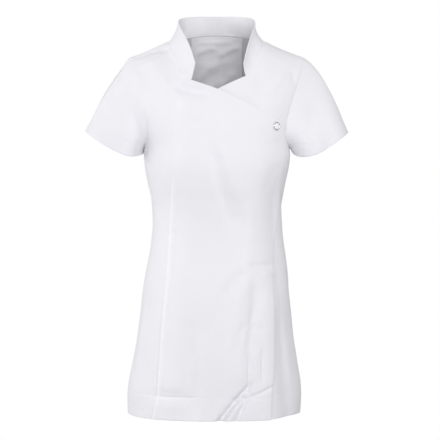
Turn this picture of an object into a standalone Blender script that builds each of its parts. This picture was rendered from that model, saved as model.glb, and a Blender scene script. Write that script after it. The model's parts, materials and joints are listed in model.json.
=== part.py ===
"""A short-sleeved wrap tunic with a stand collar, worn out to its hollow form.

Metres, +Z up. The front faces -Y and the wearer's left is at +X. The origin is midway between the two high
points of the shoulders, where the neck's seam meets the shoulder seams.

The body's form is one closed surface, read with two numbers. The share runs across it, from -1 at the wearer's
right side seam through 0 at the centre to +1 at the left side seam. The level runs up it: it is the height below
the bust, and above the bust it counts on along the curve over the shoulder, up to the crest.
"""

import math

import bmesh
import bpy
import numpy as np

FRONT, BACK = -1, 1

# ---- driving sizes ----
BUST_HEIGHT = -0.255  # the fullest level of the front
SHOULDER_CURVE = 0.4006  # how far the level runs from the bust to the crest of the shoulder
CREST = BUST_HEIGHT + SHOULDER_CURVE
HEM = -0.778
HEM_DEPTH = 0.046
NECK_HALF_WIDTH = 0.098
SHOULDER_SLOPE = 0.523  # how far the shoulder falls for each metre outwards, where it leaves the neck
SHOULDER_EASE = 1.27  # how much less it falls with each further metre
SHOULDER_SOFT = 0.008  # the stretch over which that slope begins
NECK_RISE = {FRONT: 0.030, BACK: 0.113}  # how far the form swells up inside the neck's seam
SIDE_SEAM_Y = 0.005
SEAM_FORWARD = 0.045  # how far the shoulder seam lies before the crest, as a level

CLOTH = 0.0018
COLLAR_CLOTH = 0.0024
FACING_CLOTH = 0.0012
SEAM_GAP = 0.0003
SHOULDER_GAP = 0.0011  # the shoulder seam's gap as a level, which runs quicker there than the cloth does
LAP_GAP = 0.0007  # between cloths that lie on each other
STEP_OFF = 0.0014  # where a standing cloth starts from the seam it is sewn to

UNDERARM = -0.2186  # the level of the armhole's lowest point
TURN_ROWS = 5
SKIRT_ROW = 0.030  # how far apart the rows of points lie
SHOULDER_ROW = 0.021
EDGE_STEPS = 12  # how many points an edge is read at between two of its table's

STUD_X, STUD_Z = 0.1218, -0.1798
STUD_TURNS = 24


def table(names, *rows):
    """A short table as a dictionary of named columns."""
    return dict(zip(names.split(), np.array(rows, float).T))


# Level sections of the body: half its width, and how deep it is before and behind the side seams. A roundness of 2
# is an ellipse, and more is squarer. Above the underarm the width counts the arm in.
SECTIONS = table(
    "level half_width front back roundness shift",
    (-0.790, 0.1775, 0.140, 0.142, 2.15, -0.0050),
    (-0.728, 0.1810, 0.139, 0.142, 2.15, -0.0042),
    (-0.674, 0.1730, 0.136, 0.142, 2.15, -0.0035),
    (-0.613, 0.1640, 0.132, 0.140, 2.18, -0.0020),
    (-0.554, 0.1570, 0.126, 0.134, 2.20, -0.0007),
    (-0.496, 0.1505, 0.118, 0.122, 2.22, 0.0004),
    (-0.454, 0.1440, 0.111, 0.108, 2.25, 0.0012),
    (-0.418, 0.1382, 0.106, 0.098, 2.28, 0.0016),
    (-0.380, 0.1350, 0.104, 0.092, 2.30, 0.0015),
    (-0.336, 0.1362, 0.110, 0.093, 2.32, 0.0008),
    (-0.300, 0.1432, 0.119, 0.098, 2.32, 0.0005),
    (-0.262, 0.1505, 0.125, 0.103, 2.28, 0.0008),
    (-0.236, 0.1525, 0.125, 0.105, 2.24, 0.0010),
    (-0.2186, 0.1510, 0.124, 0.106, 2.22, 0.0010),
    (-0.170, 0.1600, 0.122, 0.108, 2.20, 0.0),
    (-0.110, 0.1740, 0.121, 0.109, 2.20, 0.0),
    (-0.020, 0.1930, 0.122, 0.108, 2.20, 0.0),
    (0.1456, 0.2070, 0.124, 0.105, 2.20, 0.0),
)

# The armhole's edge above its round bottom, as a share.
ARMHOLE = table(
    "level front back",
    (-0.2200, 0.700, 0.760),
    (-0.1300, 0.690, 0.745),
    (-0.0500, 0.695, 0.720),
    (0.0500, 0.700, 0.700),
    (0.1456, 0.676, 0.676),
)

# The neck's seam, from the collar's front end to the crest of the shoulder. Over the back it is a parabola.
NECK_BACK_HEIGHT = 0.019
NECK_FRONT = table(
    "x z",
    (0.0520, -0.0858),
    (0.0645, -0.0730),
    (0.0735, -0.0590),
    (0.0840, -0.0335),
    (0.0945, -0.0125),
    (0.0980, -0.0005),
)

# Edges of the front pieces, from the hem upwards.
PRINCESS_SEAM = table(
    "x z",
    (-0.1300, HEM),
    (-0.1222, -0.729),
    (-0.1178, -0.665),
    (-0.1148, -0.617),
    (-0.1100, -0.557),
    (-0.1025, -0.495),
    (-0.0970, -0.403),
    (-0.0932, -0.342),
    (-0.0908, -0.296),
    (-0.0886, -0.188),
    (-0.0960, -0.110),
    (-0.1190, -0.012),
)
CLOSING_EDGE = table(
    "x z",
    (0.1065, HEM),
    (0.1108, -0.719),
    (0.1151, -0.679),
    (0.1169, -0.598),
    (0.1169, -0.489),
    (0.1202, -0.451),
    (0.1232, -0.421),
    (0.1278, -0.380),
    (0.1318, -0.342),
    (0.1355, -0.283),
    (0.1405, -0.228),
    (0.1400, -0.197),
    (0.1375, -0.1685),
)
WRAP_NECK_EDGE = table(
    "x z", (0.1375, -0.1685), (0.1170, -0.1600), (0.0501, -0.1283), (0.0006, -0.1046), (-0.0520, -0.0858)
)
UNDER_NECK_EDGE = table("x z", (-0.050, -0.1290), (0.0006, -0.1046), (0.0605, -0.0770))

# The collar's upper edge, from the centre back to its front corner. The share is of the collar's length.
COLLAR_TOP = table(
    "share x_right x_left y z",
    (0.000, 0.0000, 0.0000, 0.0620, 0.0570),
    (0.160, 0.0410, 0.0410, 0.0555, 0.0563),
    (0.300, 0.0675, 0.0675, 0.0330, 0.0520),
    (0.440, 0.0790, 0.0790, 0.0000, 0.0435),
    (0.570, 0.0765, 0.0795, -0.0290, 0.0290),
    (0.700, 0.0670, 0.0725, -0.0530, 0.0100),
    (0.845, 0.0540, 0.0635, -0.0740, -0.0190),
    (1.000, 0.0440, 0.0560, -0.0900, -0.0510),
)
COLLAR_ROWS = 4
COLLAR_BOW = -0.0010  # how far the middle of the stand stands out from the straight line between its edges

# The rings of the sleeves' hems: centre, slant, and half the size across and from front to back. The hem hangs
# lower in front by its dip.
CUFFS = table(
    "side x y z slant across deep dip",
    (-1, -0.2140, 0.004, -0.2100, 21.5, 0.0635, 0.0590, 0.0180),
    (1, 0.2170, 0.004, -0.2095, 19.5, 0.0600, 0.0620, 0.0210),
)
# How a sleeve leaves the armhole, as degrees outwards from the body's form, from the shoulder to the underarm.
SLEEVE_LIFT = table("turn right left", (0.0, -32, -12), (0.25, 0, 10), (0.5, 32, 32), (0.8, 48, 48), (1.0, 60, 60))
SLEEVE_ROWS = 7
SLEEVE_LEAVE, SLEEVE_ARRIVE = 0.30, 0.14  # how long it keeps its way at either end, as a part of its length

FACING_HALF_WIDTH = 0.0545
FACING_BOTTOM = -0.115
FACING_BELOW_SEAM = 0.0020
FACING_COLUMNS, FACING_ROWS = 7, 6

# Columns of points: the wrap up to the lap, the lap that it shares with the under front, and the other pieces.
WRAP_COLUMNS, LAP_COLUMNS, UNDER_COLUMNS, SIDE_COLUMNS, BACK_COLUMNS = 5, 9, 4, 4, 8
LAP_SHARE = -0.24  # from here on the wrap is fully clear of the form, for the under front to lie beneath it
FOLD_FADE = 0.030

# The press stud's profiles, as radius and height.
STUD_SEAT = 0.0004
STUD_RING = ((0.0058, 0.0), (0.0083, 0.0), (0.0087, 0.0007), (0.0080, 0.0016), (0.0068, 0.0020), (0.0058, 0.0014))
STUD_CAP = ((0.0, 0.0), (0.0053, 0.0), (0.0054, 0.0010), (0.0046, 0.0021), (0.0028, 0.0028), (0.0, 0.0031))

# The main folds: where each runs, how wide it is, and how high it stands (a trough is below zero).
FOLDS = table(
    "side x0 z0 x1 z1 width height",
    (FRONT, -0.042, -0.175, 0.000, -0.250, 0.014, -0.0028),
    (FRONT, 0.000, -0.250, 0.036, -0.365, 0.016, -0.0026),
    (FRONT, 0.026, -0.240, 0.052, -0.350, 0.018, 0.0022),
    (FRONT, -0.165, -0.060, -0.085, -0.135, 0.013, -0.0026),
    (FRONT, -0.135, -0.055, -0.060, -0.150, 0.014, 0.0022),
    (FRONT, -0.062, -0.098, -0.020, -0.118, 0.012, -0.0026),
    (FRONT, 0.060, -0.470, 0.048, -0.690, 0.018, 0.0030),
    (FRONT, 0.080, -0.520, 0.066, -0.720, 0.014, -0.0026),
    (FRONT, -0.052, -0.600, -0.056, -0.760, 0.022, -0.0024),
    (FRONT, -0.145, -0.560, -0.160, -0.760, 0.020, -0.0022),
    (FRONT, 0.136, -0.500, 0.148, -0.740, 0.016, -0.0022),
    (FRONT, 0.052, -0.735, 0.008, -0.790, 0.011, -0.0030),
    (BACK, -0.080, -0.430, 0.020, -0.395, 0.016, -0.0034),
    (BACK, 0.090, -0.400, -0.010, -0.365, 0.016, -0.0030),
    (BACK, -0.070, -0.330, 0.030, -0.345, 0.014, 0.0024),
    (BACK, -0.070, -0.560, -0.085, -0.790, 0.026, -0.0034),
    (BACK, 0.060, -0.580, 0.078, -0.790, 0.028, -0.0034),
    (BACK, 0.000, -0.620, 0.000, -0.790, 0.030, 0.0026),
    (BACK, -0.110, -0.160, -0.060, -0.290, 0.018, -0.0026),
    (BACK, 0.115, -0.150, 0.070, -0.280, 0.018, -0.0026),
)


def smooth(at, xs, ys):
    """A smooth curve through the points (xs, ys), read at `at`."""
    slopes = np.gradient(ys, xs)
    i = np.clip(np.searchsorted(xs, at) - 1, 0, len(xs) - 2)
    width = xs[i + 1] - xs[i]
    t = np.clip((at - xs[i]) / width, 0, 1)
    start = (1 + 2 * t) * (1 - t) ** 2 * ys[i] + t * (1 - t) ** 2 * width * slopes[i]
    end = t**2 * (3 - 2 * t) * ys[i + 1] - t**2 * (1 - t) * width * slopes[i + 1]
    return start + end


def by_side(side, front, back):
    return np.where(np.asarray(side) < 0, front, back)


def crest_height(x, side):
    """The height of the shoulder's crest at x, and of the form that swells up inside the neck's seam."""
    inside = np.clip(1 - (x / NECK_HALF_WIDTH) ** 2, 0, 1)
    past = np.abs(x) - NECK_HALF_WIDTH
    outside = (past + np.sqrt(past**2 + SHOULDER_SOFT**2) - SHOULDER_SOFT) / 2
    fall = (SHOULDER_SLOPE - SHOULDER_EASE * outside) * outside
    return by_side(side, NECK_RISE[FRONT], NECK_RISE[BACK]) * inside**2 - fall


def section(name, level):
    return smooth(level, SECTIONS["level"], SECTIONS[name])


def bare_form(share, level, side):
    """Points of the form without folds. Past the crest the level runs down the other side."""
    over = level > CREST
    level = np.where(over, 2 * CREST - level, level)
    side = np.where(over, -side, side)
    power = 2 / section("roundness", level)
    sine, cosine = np.sin(share * math.pi / 2), np.cos(share * math.pi / 2)
    x = section("half_width", level) * np.sign(sine) * np.abs(sine) ** power + section("shift", level)
    depth = by_side(side, section("front", level), section("back", level))
    rise = np.clip((level - BUST_HEIGHT) / SHOULDER_CURVE, 0, 1) * math.pi / 2
    y = SIDE_SEAM_Y + side * depth * np.sign(cosine) * np.abs(cosine) ** power * np.cos(rise)
    z = np.minimum(level, BUST_HEIGHT) + (crest_height(x, side) - BUST_HEIGHT) * np.sin(rise)
    return np.stack(np.broadcast_arrays(x, y, z), axis=-1)


def outward(share, level, side):
    """The direction straight out of the form."""
    nudge = 1e-4
    across = bare_form(share + nudge, level, side) - bare_form(share - nudge, level, side)
    up = bare_form(share, level + nudge, side) - bare_form(share, level - nudge, side)
    normal = np.cross(across, up) * -np.sign(np.asarray(side, float))[..., None]
    return normal / np.linalg.norm(normal, axis=-1, keepdims=True)


def place(x, z, side):
    """The share and level of the form's point at x and z."""
    rise = np.arcsin(np.clip((z - BUST_HEIGHT) / (crest_height(x, side) - BUST_HEIGHT), 0, 1))
    level = np.where(z < BUST_HEIGHT, z, BUST_HEIGHT + rise / (math.pi / 2) * SHOULDER_CURVE)
    reach = np.clip((np.abs(x - section("shift", level))) / section("half_width", level), 0, 1)
    share = np.arcsin(reach ** (section("roundness", level) / 2)) / (math.pi / 2)
    return share * np.sign(x - section("shift", level)), level


def folds(points, side):
    """How far the folds push each point out. They fade out towards the side seams and the crest."""
    push = np.zeros(points.shape[:-1])
    depth = points[..., 1] - SIDE_SEAM_Y
    for fold_side, x0, z0, x1, z1, width, height in zip(*FOLDS.values()):
        run = np.array([x1 - x0, z1 - z0])
        spot = points[..., [0, 2]] - (x0, z0)
        along = np.clip(spot @ run / (run @ run), 0, 1)
        away = np.linalg.norm(spot - along[..., None] * run, axis=-1)
        fade = np.clip(fold_side * depth / FOLD_FADE, 0, 1)
        push = push + fade * height * np.exp(-((away / width) ** 2))
    return push


def cloth_form(share, level, side, lift=0.0):
    """Points of the worn cloth, `lift` metres out from the form."""
    points = bare_form(share, level, side)
    push = folds(points, side) + lift
    return points + outward(share, level, side) * push[..., None]


# ---- edges, each a share for a level ----


def traced(x, z, side):
    """The edge along close points of the form."""
    shares, levels = place(x, z, side)
    return lambda level: np.interp(level, levels, shares)


def edge(points):
    """The smooth edge on the front through a table's points."""
    rows = np.arange(len(points["x"]))
    at = np.linspace(0, rows[-1], rows[-1] * EDGE_STEPS + 1)
    return traced(smooth(at, rows, points["x"]), smooth(at, rows, points["z"]), FRONT)


def neck_back_height(x):
    return NECK_BACK_HEIGHT * (1 - (x / NECK_HALF_WIDTH) ** 2)


def seam_share(level):
    """Half the gap of a seam, as a share of the way round."""
    return SEAM_GAP / 2 / (section("front", level) * math.pi / 2)


def neck_edge(level, side):
    """The neck's seam on the wearer's left. On the back it runs on past the crest, to the shoulder seam."""
    front = edge(NECK_FRONT)
    x = np.linspace(0, NECK_HALF_WIDTH, EDGE_STEPS * EDGE_STEPS + 1)
    back = traced(x, neck_back_height(x), BACK)
    past = level > CREST
    return np.where(past, front(2 * CREST - level), by_side(side, front(level), back(level)))


def arm_edge(level, side):
    """The side seam up to the underarm, then the armhole: an upright edge that ends below in a quarter ellipse."""
    past = level > CREST
    level = np.where(past, 2 * CREST - level, level)
    front, back = (smooth(level, ARMHOLE["level"], ARMHOLE[name]) for name in ("front", "back"))
    upright = np.where(past, front, by_side(side, front, back))
    drop = np.clip((ARM_TURN - level) / (ARM_TURN - UNDERARM), 0, 1)
    return 1 - (1 - upright) * np.sqrt(1 - drop**2) - seam_share(level)


def wrap_edge(level):
    """The wrap's closing edge, then its slanting neck edge, then the collar's seam."""
    ends = [level <= ARM_TURN, level <= COLLAR_END[-1]]
    return np.select(ends, [edge(CLOSING_EDGE)(level), edge(WRAP_NECK_EDGE)(level)], -neck_edge(level, FRONT))


def under_edge(level):
    """The under front's plain edge under the wrap, then its slanting neck edge, then the collar's seam."""
    slant = edge(UNDER_NECK_EDGE)
    hidden = slant(HIDDEN_CORNER) + 0 * level
    return np.select([level <= HIDDEN_CORNER, level <= COLLAR_END[1]], [hidden, slant(level)], neck_edge(level, FRONT))


def princess_edge(level, sign):
    """The princess seam's line, drawn back on one side by half the seam's gap."""
    return edge(PRINCESS_SEAM)(level) + sign * seam_share(level)


def level_of(points, row):
    return float(place(points["x"][row], points["z"][row], FRONT)[1])


ARM_TURN = level_of(CLOSING_EDGE, -1)  # the armhole's round bottom ends level with the wrap's corner
POINT_OF_NECK = level_of(WRAP_NECK_EDGE, -2)
HIDDEN_CORNER = level_of(UNDER_NECK_EDGE, 0)
COLLAR_END = {-1: level_of(WRAP_NECK_EDGE, -1), 1: level_of(UNDER_NECK_EDGE, -1)}
SHOULDER_SEAM = CREST - SEAM_FORWARD
TURN_LEVELS = [
    ARM_TURN - (ARM_TURN - UNDERARM) * math.cos(k * math.pi / 2 / TURN_ROWS) for k in range(TURN_ROWS + 1)
]


def rows_through(*keys):
    """Levels through the keys, with even rows between them."""
    levels = [keys[0]]
    for low, high in zip(keys, keys[1:]):
        step = SKIRT_ROW if high <= UNDERARM else SHOULDER_ROW
        count = max(1, round((high - low) / step))
        levels += list(np.linspace(low, high, count + 1)[1:])
    return np.array(levels)


FRONT_ROWS = rows_through(
    *(HEM, HEM + HEM_DEPTH, *TURN_LEVELS, HIDDEN_CORNER, POINT_OF_NECK, COLLAR_END[-1], COLLAR_END[1]),
    SHOULDER_SEAM - SHOULDER_GAP / 2,
)
NECK_COLUMNS_X = NECK_HALF_WIDTH * np.array([0, 0.3, 0.6, 0.84])
BACK_NECK_LEVELS = place(NECK_COLUMNS_X, neck_back_height(NECK_COLUMNS_X), BACK)[1]
BACK_ROWS = rows_through(
    *(HEM, HEM + HEM_DEPTH, *TURN_LEVELS, *BACK_NECK_LEVELS, CREST),
    CREST + SEAM_FORWARD - SHOULDER_GAP / 2,
)


# ---- making the solids ----


def material(name, colour, roughness, metallic=0.0):
    made = bpy.data.materials.new(name)
    made.use_nodes = True
    shader = made.node_tree.nodes["Principled BSDF"]
    shader.inputs["Base Color"].default_value = (*colour, 1.0)
    shader.inputs["Roughness"].default_value = roughness
    shader.inputs["Metallic"].default_value = metallic
    return made


def solid(name, corners, faces, finish):
    """An object from points and faces, with the same points joined and every face turned outwards."""
    shell = bmesh.new()
    points = [shell.verts.new(corner) for corner in corners]
    for face in faces:
        shell.faces.new([points[i] for i in face])
    bmesh.ops.remove_doubles(shell, verts=shell.verts, dist=1e-6)
    bmesh.ops.recalc_face_normals(shell, faces=shell.faces)
    mesh = bpy.data.meshes.new(name)
    shell.to_mesh(mesh)
    shell.free()
    mesh.materials.append(finish)
    mesh.shade_smooth()
    mesh.set_sharp_from_angle(angle=math.radians(50))
    made = bpy.data.objects.new(name, mesh)
    bpy.context.collection.objects.link(made)
    return made


def cloth(name, sheets, finish):
    """A wall of cloth out of sheets, each a pair of grids of points: its outer face and its inner one.

    Sheets that share an edge are joined there, columns that meet in a point end in it, and every free edge is
    closed with a rim. Each cell is split along the diagonal that stands further out.
    """
    numbers, outer, inner, faces = {}, [], [], []
    for outer_grid, inner_grid in sheets:
        rows, columns = outer_grid.shape[:2]
        index = np.zeros((rows, columns), int)
        for r in range(rows):
            for c in range(columns):
                key = tuple(np.round(outer_grid[r, c], 6) + 0.0)
                index[r, c] = numbers.setdefault(key, len(outer))
                if index[r, c] == len(outer):
                    outer.append(outer_grid[r, c])
                    inner.append(inner_grid[r, c])
        cells = np.stack([index[:-1, :-1], index[:-1, 1:], index[1:, 1:], index[1:, :-1]], axis=-1)
        for a, b, c, d in cells.reshape(-1, 4):
            lean = (outer[a] + outer[c] - outer[b] - outer[d]) @ (outer[a] - inner[a])
            faces += [(a, b, c), (a, c, d)] if lean > 0 else [(b, c, d), (b, d, a)]
    faces = [face for face in faces if len(set(face)) == 3]
    count = len(outer)
    free = {}
    for face in faces:
        for a, b in zip(face, face[1:] + face[:1]):
            free[frozenset((a, b))] = None if frozenset((a, b)) in free else (a, b)
    rims = [(b, a, a + count, b + count) for a, b in filter(None, free.values())]
    backs = [tuple(i + count for i in reversed(face)) for face in faces]
    return solid(name, outer + inner, faces + backs + rims, finish)


def panel(edges, columns, levels, side, lift=None):
    """One sheet of a piece that lies on the form, in strips between its edges, with so many columns in each."""
    stops = [at(levels)[:, None] for at in edges]
    strips = [a + (b - a) * np.arange(n) / n for a, b, n in zip(stops, stops[1:], columns)]
    share = np.concatenate([*strips, stops[-1]], axis=1)
    level = np.broadcast_to(levels[:, None], share.shape)
    rest = lift(share, level) if lift else 0.0
    return [cloth_form(share, level, side, rest + way * CLOTH / 2) for way in (1, -1)]


def ease(amount):
    amount = np.clip(amount, 0, 1)
    return amount**2 * (3 - 2 * amount)


def lap_lift(share, level):
    """The wrap lies on the under front, and comes down to the form at its princess seam and towards the collar."""
    seam = edge(PRINCESS_SEAM)(level)
    across = ease((share - seam) / (LAP_SHARE - seam))
    down = ease((COLLAR_END[-1] - level) / (COLLAR_END[-1] - POINT_OF_NECK))
    return (CLOTH + LAP_GAP) * across * down


def front_pieces(finish):
    """The three fronts. Where the wrap lies on the under front, both have the same rows and columns of points."""

    def lap_start(level):
        return np.minimum(under_edge(level), wrap_edge(level))

    def lap_end(level):
        return np.maximum(under_edge(level), wrap_edge(level))

    def arm(level):
        return arm_edge(level, FRONT)

    wrap = (lambda level: princess_edge(level, 1), lap_start, wrap_edge)
    under = (under_edge, lap_end, arm)
    side = (lambda level: -arm(level), lambda level: princess_edge(level, -1))
    cloth("front_wrap", [panel(wrap, (WRAP_COLUMNS, LAP_COLUMNS), FRONT_ROWS, FRONT, lap_lift)], finish)
    cloth("front_under", [panel(under, (LAP_COLUMNS, UNDER_COLUMNS), FRONT_ROWS, FRONT)], finish)
    cloth("side_front", [panel(side, (SIDE_COLUMNS,), FRONT_ROWS, FRONT)], finish)


def back_piece(finish):
    halves = []
    for sign in (-1, 1):
        edges = [lambda level, at=at: sign * at(level, BACK) for at in (neck_edge, arm_edge)]
        halves.append(panel(edges, (BACK_COLUMNS,), BACK_ROWS, BACK))
    cloth("back", halves, finish)


def seam_line(edge_at, lowest_front, lowest_back, sign):
    """A seam that goes up the front and down the back: its points and the form's outward way there."""
    front = FRONT_ROWS[FRONT_ROWS > lowest_front - 1e-6]
    back = BACK_ROWS[(BACK_ROWS > lowest_back - 1e-6) & (BACK_ROWS < BACK_ROWS[-1])][::-1]
    levels = np.concatenate([front, back])
    sides = np.repeat([FRONT, BACK], [len(front), len(back)])
    shares = sign * edge_at(levels, sides)
    return cloth_form(shares, levels, sides), outward(shares, levels, sides)


def wall(middle, thickness, closed=False):
    """The two faces of a cloth whose middle is given as a grid of points."""
    if closed:
        ring = np.concatenate([middle[:, -2:-1], middle, middle[:, 1:2]], axis=1)
        across = np.gradient(ring, axis=1)[:, 1:-1]
    else:
        across = np.gradient(middle, axis=1)
    out = np.cross(across, np.gradient(middle, axis=0))
    out /= np.linalg.norm(out, axis=-1, keepdims=True)
    return [middle + out * way * thickness / 2 for way in (1, -1)]


def along_line(points):
    """How far along a line of points each lies, from 0 to 1."""
    far = np.concatenate([[0], np.cumsum(np.linalg.norm(np.diff(points, axis=0), axis=1))])
    return far / far[-1]


def collar_piece(finish):
    """A stand sewn round the neck's seam. It leans in towards its upper edge and bows out a little between."""
    seams, tops = [], []
    for sign, column in ((-1, "x_right"), (1, "x_left")):
        seam = seam_line(neck_edge, COLLAR_END[sign], BACK_NECK_LEVELS[0], sign)[0][::-1]
        along = along_line(seam)
        top = np.stack([smooth(along, COLLAR_TOP["share"], COLLAR_TOP[n]) for n in (column, "y", "z")], axis=-1)
        seams.append(seam)
        tops.append(top * (sign, 1, 1))
    seam, top = (np.concatenate([right[:0:-1], left]) for right, left in (seams, tops))
    rise = top - seam
    foot = seam + rise / np.linalg.norm(rise, axis=1, keepdims=True) * STEP_OFF
    out = seam * (1, 1, 0) / np.linalg.norm(seam[:, :2], axis=1, keepdims=True)
    height = np.linspace(0, 1, COLLAR_ROWS + 1)[:, None, None]
    middle = foot + (top - foot) * height + out * COLLAR_BOW * 4 * height * (1 - height)
    cloth("collar", [wall(middle, COLLAR_CLOTH)], finish)


def sleeve_piece(name, sign, finish):
    """A short sleeve: it leaves the armhole along the shoulder and falls to the ring of its hem."""
    cuff = {column: values[CUFFS["side"] == sign][0] for column, values in CUFFS.items()}
    ring, out = seam_line(arm_edge, UNDERARM, UNDERARM + 1e-4, sign)
    crest = int(np.argmax(ring[:, 2]))
    turn = np.concatenate([1 - along_line(ring[: crest + 1]), along_line(np.vstack([ring[crest:], ring[:1]]))[1:-1]])
    ring, out = np.vstack([ring, ring[:1]]), np.vstack([out, out[:1]])
    turn, front = np.append(turn, 1.0), np.append(np.arange(len(turn)) < crest, True)

    looped = np.vstack([ring[-2:-1], ring, ring[1:2]])
    away = np.cross(np.gradient(looped, axis=0)[1:-1], out) * sign
    away /= np.linalg.norm(away, axis=1, keepdims=True)
    lift = smooth(turn, SLEEVE_LIFT["turn"], SLEEVE_LIFT["right" if sign < 0 else "left"])
    tilt = np.radians(lift)[:, None]
    start = away * np.cos(tilt) + out * np.sin(tilt)
    foot = ring + start * STEP_OFF

    slant = math.radians(cuff["slant"])
    aside = np.array([sign * math.cos(slant), 0, math.sin(slant)])
    down = np.array([sign * math.sin(slant), 0, -math.cos(slant)])
    forward = np.where(front, 1.0, -1.0)[:, None] * np.sin(turn * math.pi)[:, None]
    hem = (
        np.array([cuff["x"], cuff["y"], cuff["z"]])
        + aside * cuff["across"] * np.cos(turn * math.pi)[:, None]
        + forward * (np.array([0, -cuff["deep"], 0]) + down * cuff["dip"])
    )
    reach = np.linalg.norm(hem - foot, axis=1, keepdims=True)
    leave, arrive = foot + start * reach * SLEEVE_LEAVE, hem - down * reach * SLEEVE_ARRIVE
    t = np.linspace(0, 1, SLEEVE_ROWS + 1)[:, None, None]
    middle = (1 - t) ** 3 * foot + 3 * t * (1 - t) ** 2 * leave + 3 * t**2 * (1 - t) * arrive + t**3 * hem
    cloth(name, [wall(middle, CLOTH, closed=True)], finish)


def on_back(share, level):
    """Points on the flat faces of the back's own grid, which lie a little inside the curved form."""
    row = np.clip(np.searchsorted(BACK_ROWS, level) - 1, 0, len(BACK_ROWS) - 2)
    up = (level - BACK_ROWS[row]) / (BACK_ROWS[row + 1] - BACK_ROWS[row])
    starts, ends = (edge_at(BACK_ROWS, BACK) for edge_at in (neck_edge, arm_edge))
    start, end = (at[row] + (at[row + 1] - at[row]) * up for at in (starts, ends))
    across = np.clip((np.abs(share) - start) / (end - start), 0, 1) * BACK_COLUMNS
    column = np.minimum(across.astype(int), BACK_COLUMNS - 1)
    points = 0.0
    for r, weight in ((row, 1 - up), (row + 1, up)):
        for c, part in ((column, 1 - across + column), (column + 1, across - column)):
            corner = np.sign(share) * (starts[r] + (ends[r] - starts[r]) * c / BACK_COLUMNS)
            points = points + cloth_form(corner, BACK_ROWS[r], BACK) * (weight * part)[..., None]
    return points


def facing_piece(finish):
    """The piece that lies inside the back below the neck's seam."""
    x = np.linspace(-FACING_HALF_WIDTH, FACING_HALF_WIDTH, FACING_COLUMNS + 1)
    top = neck_back_height(x) - FACING_BELOW_SEAM
    z = FACING_BOTTOM + (top - FACING_BOTTOM) * np.linspace(0, 1, FACING_ROWS + 1)[:, None]
    share, level = place(np.broadcast_to(x, z.shape), z, BACK)
    inside = -(CLOTH / 2 + LAP_GAP + FACING_CLOTH / 2)
    middle, out = on_back(share, level), outward(share, level, BACK)
    cloth("neck_facing", [[middle + out * (inside + way * FACING_CLOTH / 2) for way in (1, -1)]], finish)


def turned(name, profile, centre, axis, finish):
    """A round piece: a closed profile of (radius, height) points, turned about an axis through the centre."""
    spoke_a = np.cross(axis, (0, 0, 1.0))
    spoke_a /= np.linalg.norm(spoke_a)
    spoke_b = np.cross(axis, spoke_a)
    corners, faces, count = [], [], len(profile)
    for k in range(STUD_TURNS):
        angle = 2 * math.pi * k / STUD_TURNS
        spoke = spoke_a * math.cos(angle) + spoke_b * math.sin(angle)
        corners += [centre + spoke * radius + axis * height for radius, height in profile]
        here, there = k * count, (k + 1) % STUD_TURNS * count
        for i in range(count):
            j = (i + 1) % count
            if profile[i][0] or profile[j][0]:
                faces.append((here + i, here + j, there + j, there + i))
    return solid(name, corners, faces, finish)


def stud_pieces(pearl, metal):
    """The press stud that closes the wrap at its corner: a ring prong with its cap, on the wrap's outer face."""
    share, level = place(np.array([STUD_X]), np.array([STUD_Z]), FRONT)
    seat = lap_lift(share, level) + CLOTH / 2 + STUD_SEAT
    centre, axis = cloth_form(share, level, FRONT, seat)[0], outward(share, level, FRONT)[0]
    turned("stud_ring", STUD_RING, centre, axis, metal)
    turned("stud_cap", STUD_CAP, centre, axis, pearl)


def main():
    for old in list(bpy.data.objects):
        bpy.data.objects.remove(old, do_unlink=True)
    white = material("white_cloth", (0.84, 0.84, 0.87), 0.85)
    pearl = material("pearl_white", (0.88, 0.88, 0.90), 0.25)
    metal = material("stud_metal", (0.72, 0.73, 0.75), 0.2, metallic=1.0)
    front_pieces(white)
    back_piece(white)
    collar_piece(white)
    sleeve_piece("sleeve_right", -1, white)
    sleeve_piece("sleeve_left", 1, white)
    facing_piece(white)
    stud_pieces(pearl, metal)


main()
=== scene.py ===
# %% [markdown]
# # A white wrap tunic, hollow as worn
#
# A plain CAD model gives this tunic its size and its form. This lesson dresses it: each cell makes one piece of
# cloth, one finish or one lamp, and says what that is on the real garment. Nobody wears the tunic. It keeps the
# filled-out form that it has on a body, with its neck, cuffs and hem open.

import json
import math
from collections import Counter

import bpy
import numpy as np
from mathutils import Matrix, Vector
from mathutils.kdtree import KDTree

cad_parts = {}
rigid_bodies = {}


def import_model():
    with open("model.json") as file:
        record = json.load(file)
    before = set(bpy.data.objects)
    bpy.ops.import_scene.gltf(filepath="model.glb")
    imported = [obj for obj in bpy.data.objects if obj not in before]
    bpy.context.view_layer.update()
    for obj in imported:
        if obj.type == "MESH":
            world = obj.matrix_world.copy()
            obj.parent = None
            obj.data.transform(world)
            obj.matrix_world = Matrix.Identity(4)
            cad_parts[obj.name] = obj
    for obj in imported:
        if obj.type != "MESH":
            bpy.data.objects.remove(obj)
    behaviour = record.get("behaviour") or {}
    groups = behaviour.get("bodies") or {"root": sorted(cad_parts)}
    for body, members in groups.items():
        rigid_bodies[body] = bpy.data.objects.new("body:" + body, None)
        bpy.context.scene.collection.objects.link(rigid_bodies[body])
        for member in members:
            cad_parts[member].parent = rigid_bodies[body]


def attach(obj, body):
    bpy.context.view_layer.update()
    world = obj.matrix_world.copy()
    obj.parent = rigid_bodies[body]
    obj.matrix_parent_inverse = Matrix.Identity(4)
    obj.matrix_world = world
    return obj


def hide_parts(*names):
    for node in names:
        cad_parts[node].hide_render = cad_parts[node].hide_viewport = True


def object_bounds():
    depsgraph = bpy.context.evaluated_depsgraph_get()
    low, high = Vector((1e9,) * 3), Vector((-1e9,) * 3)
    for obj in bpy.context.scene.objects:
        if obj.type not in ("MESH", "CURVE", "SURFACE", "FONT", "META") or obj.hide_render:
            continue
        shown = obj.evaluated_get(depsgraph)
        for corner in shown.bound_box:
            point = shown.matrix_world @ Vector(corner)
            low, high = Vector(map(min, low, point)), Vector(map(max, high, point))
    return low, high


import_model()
cad_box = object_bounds()
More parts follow.
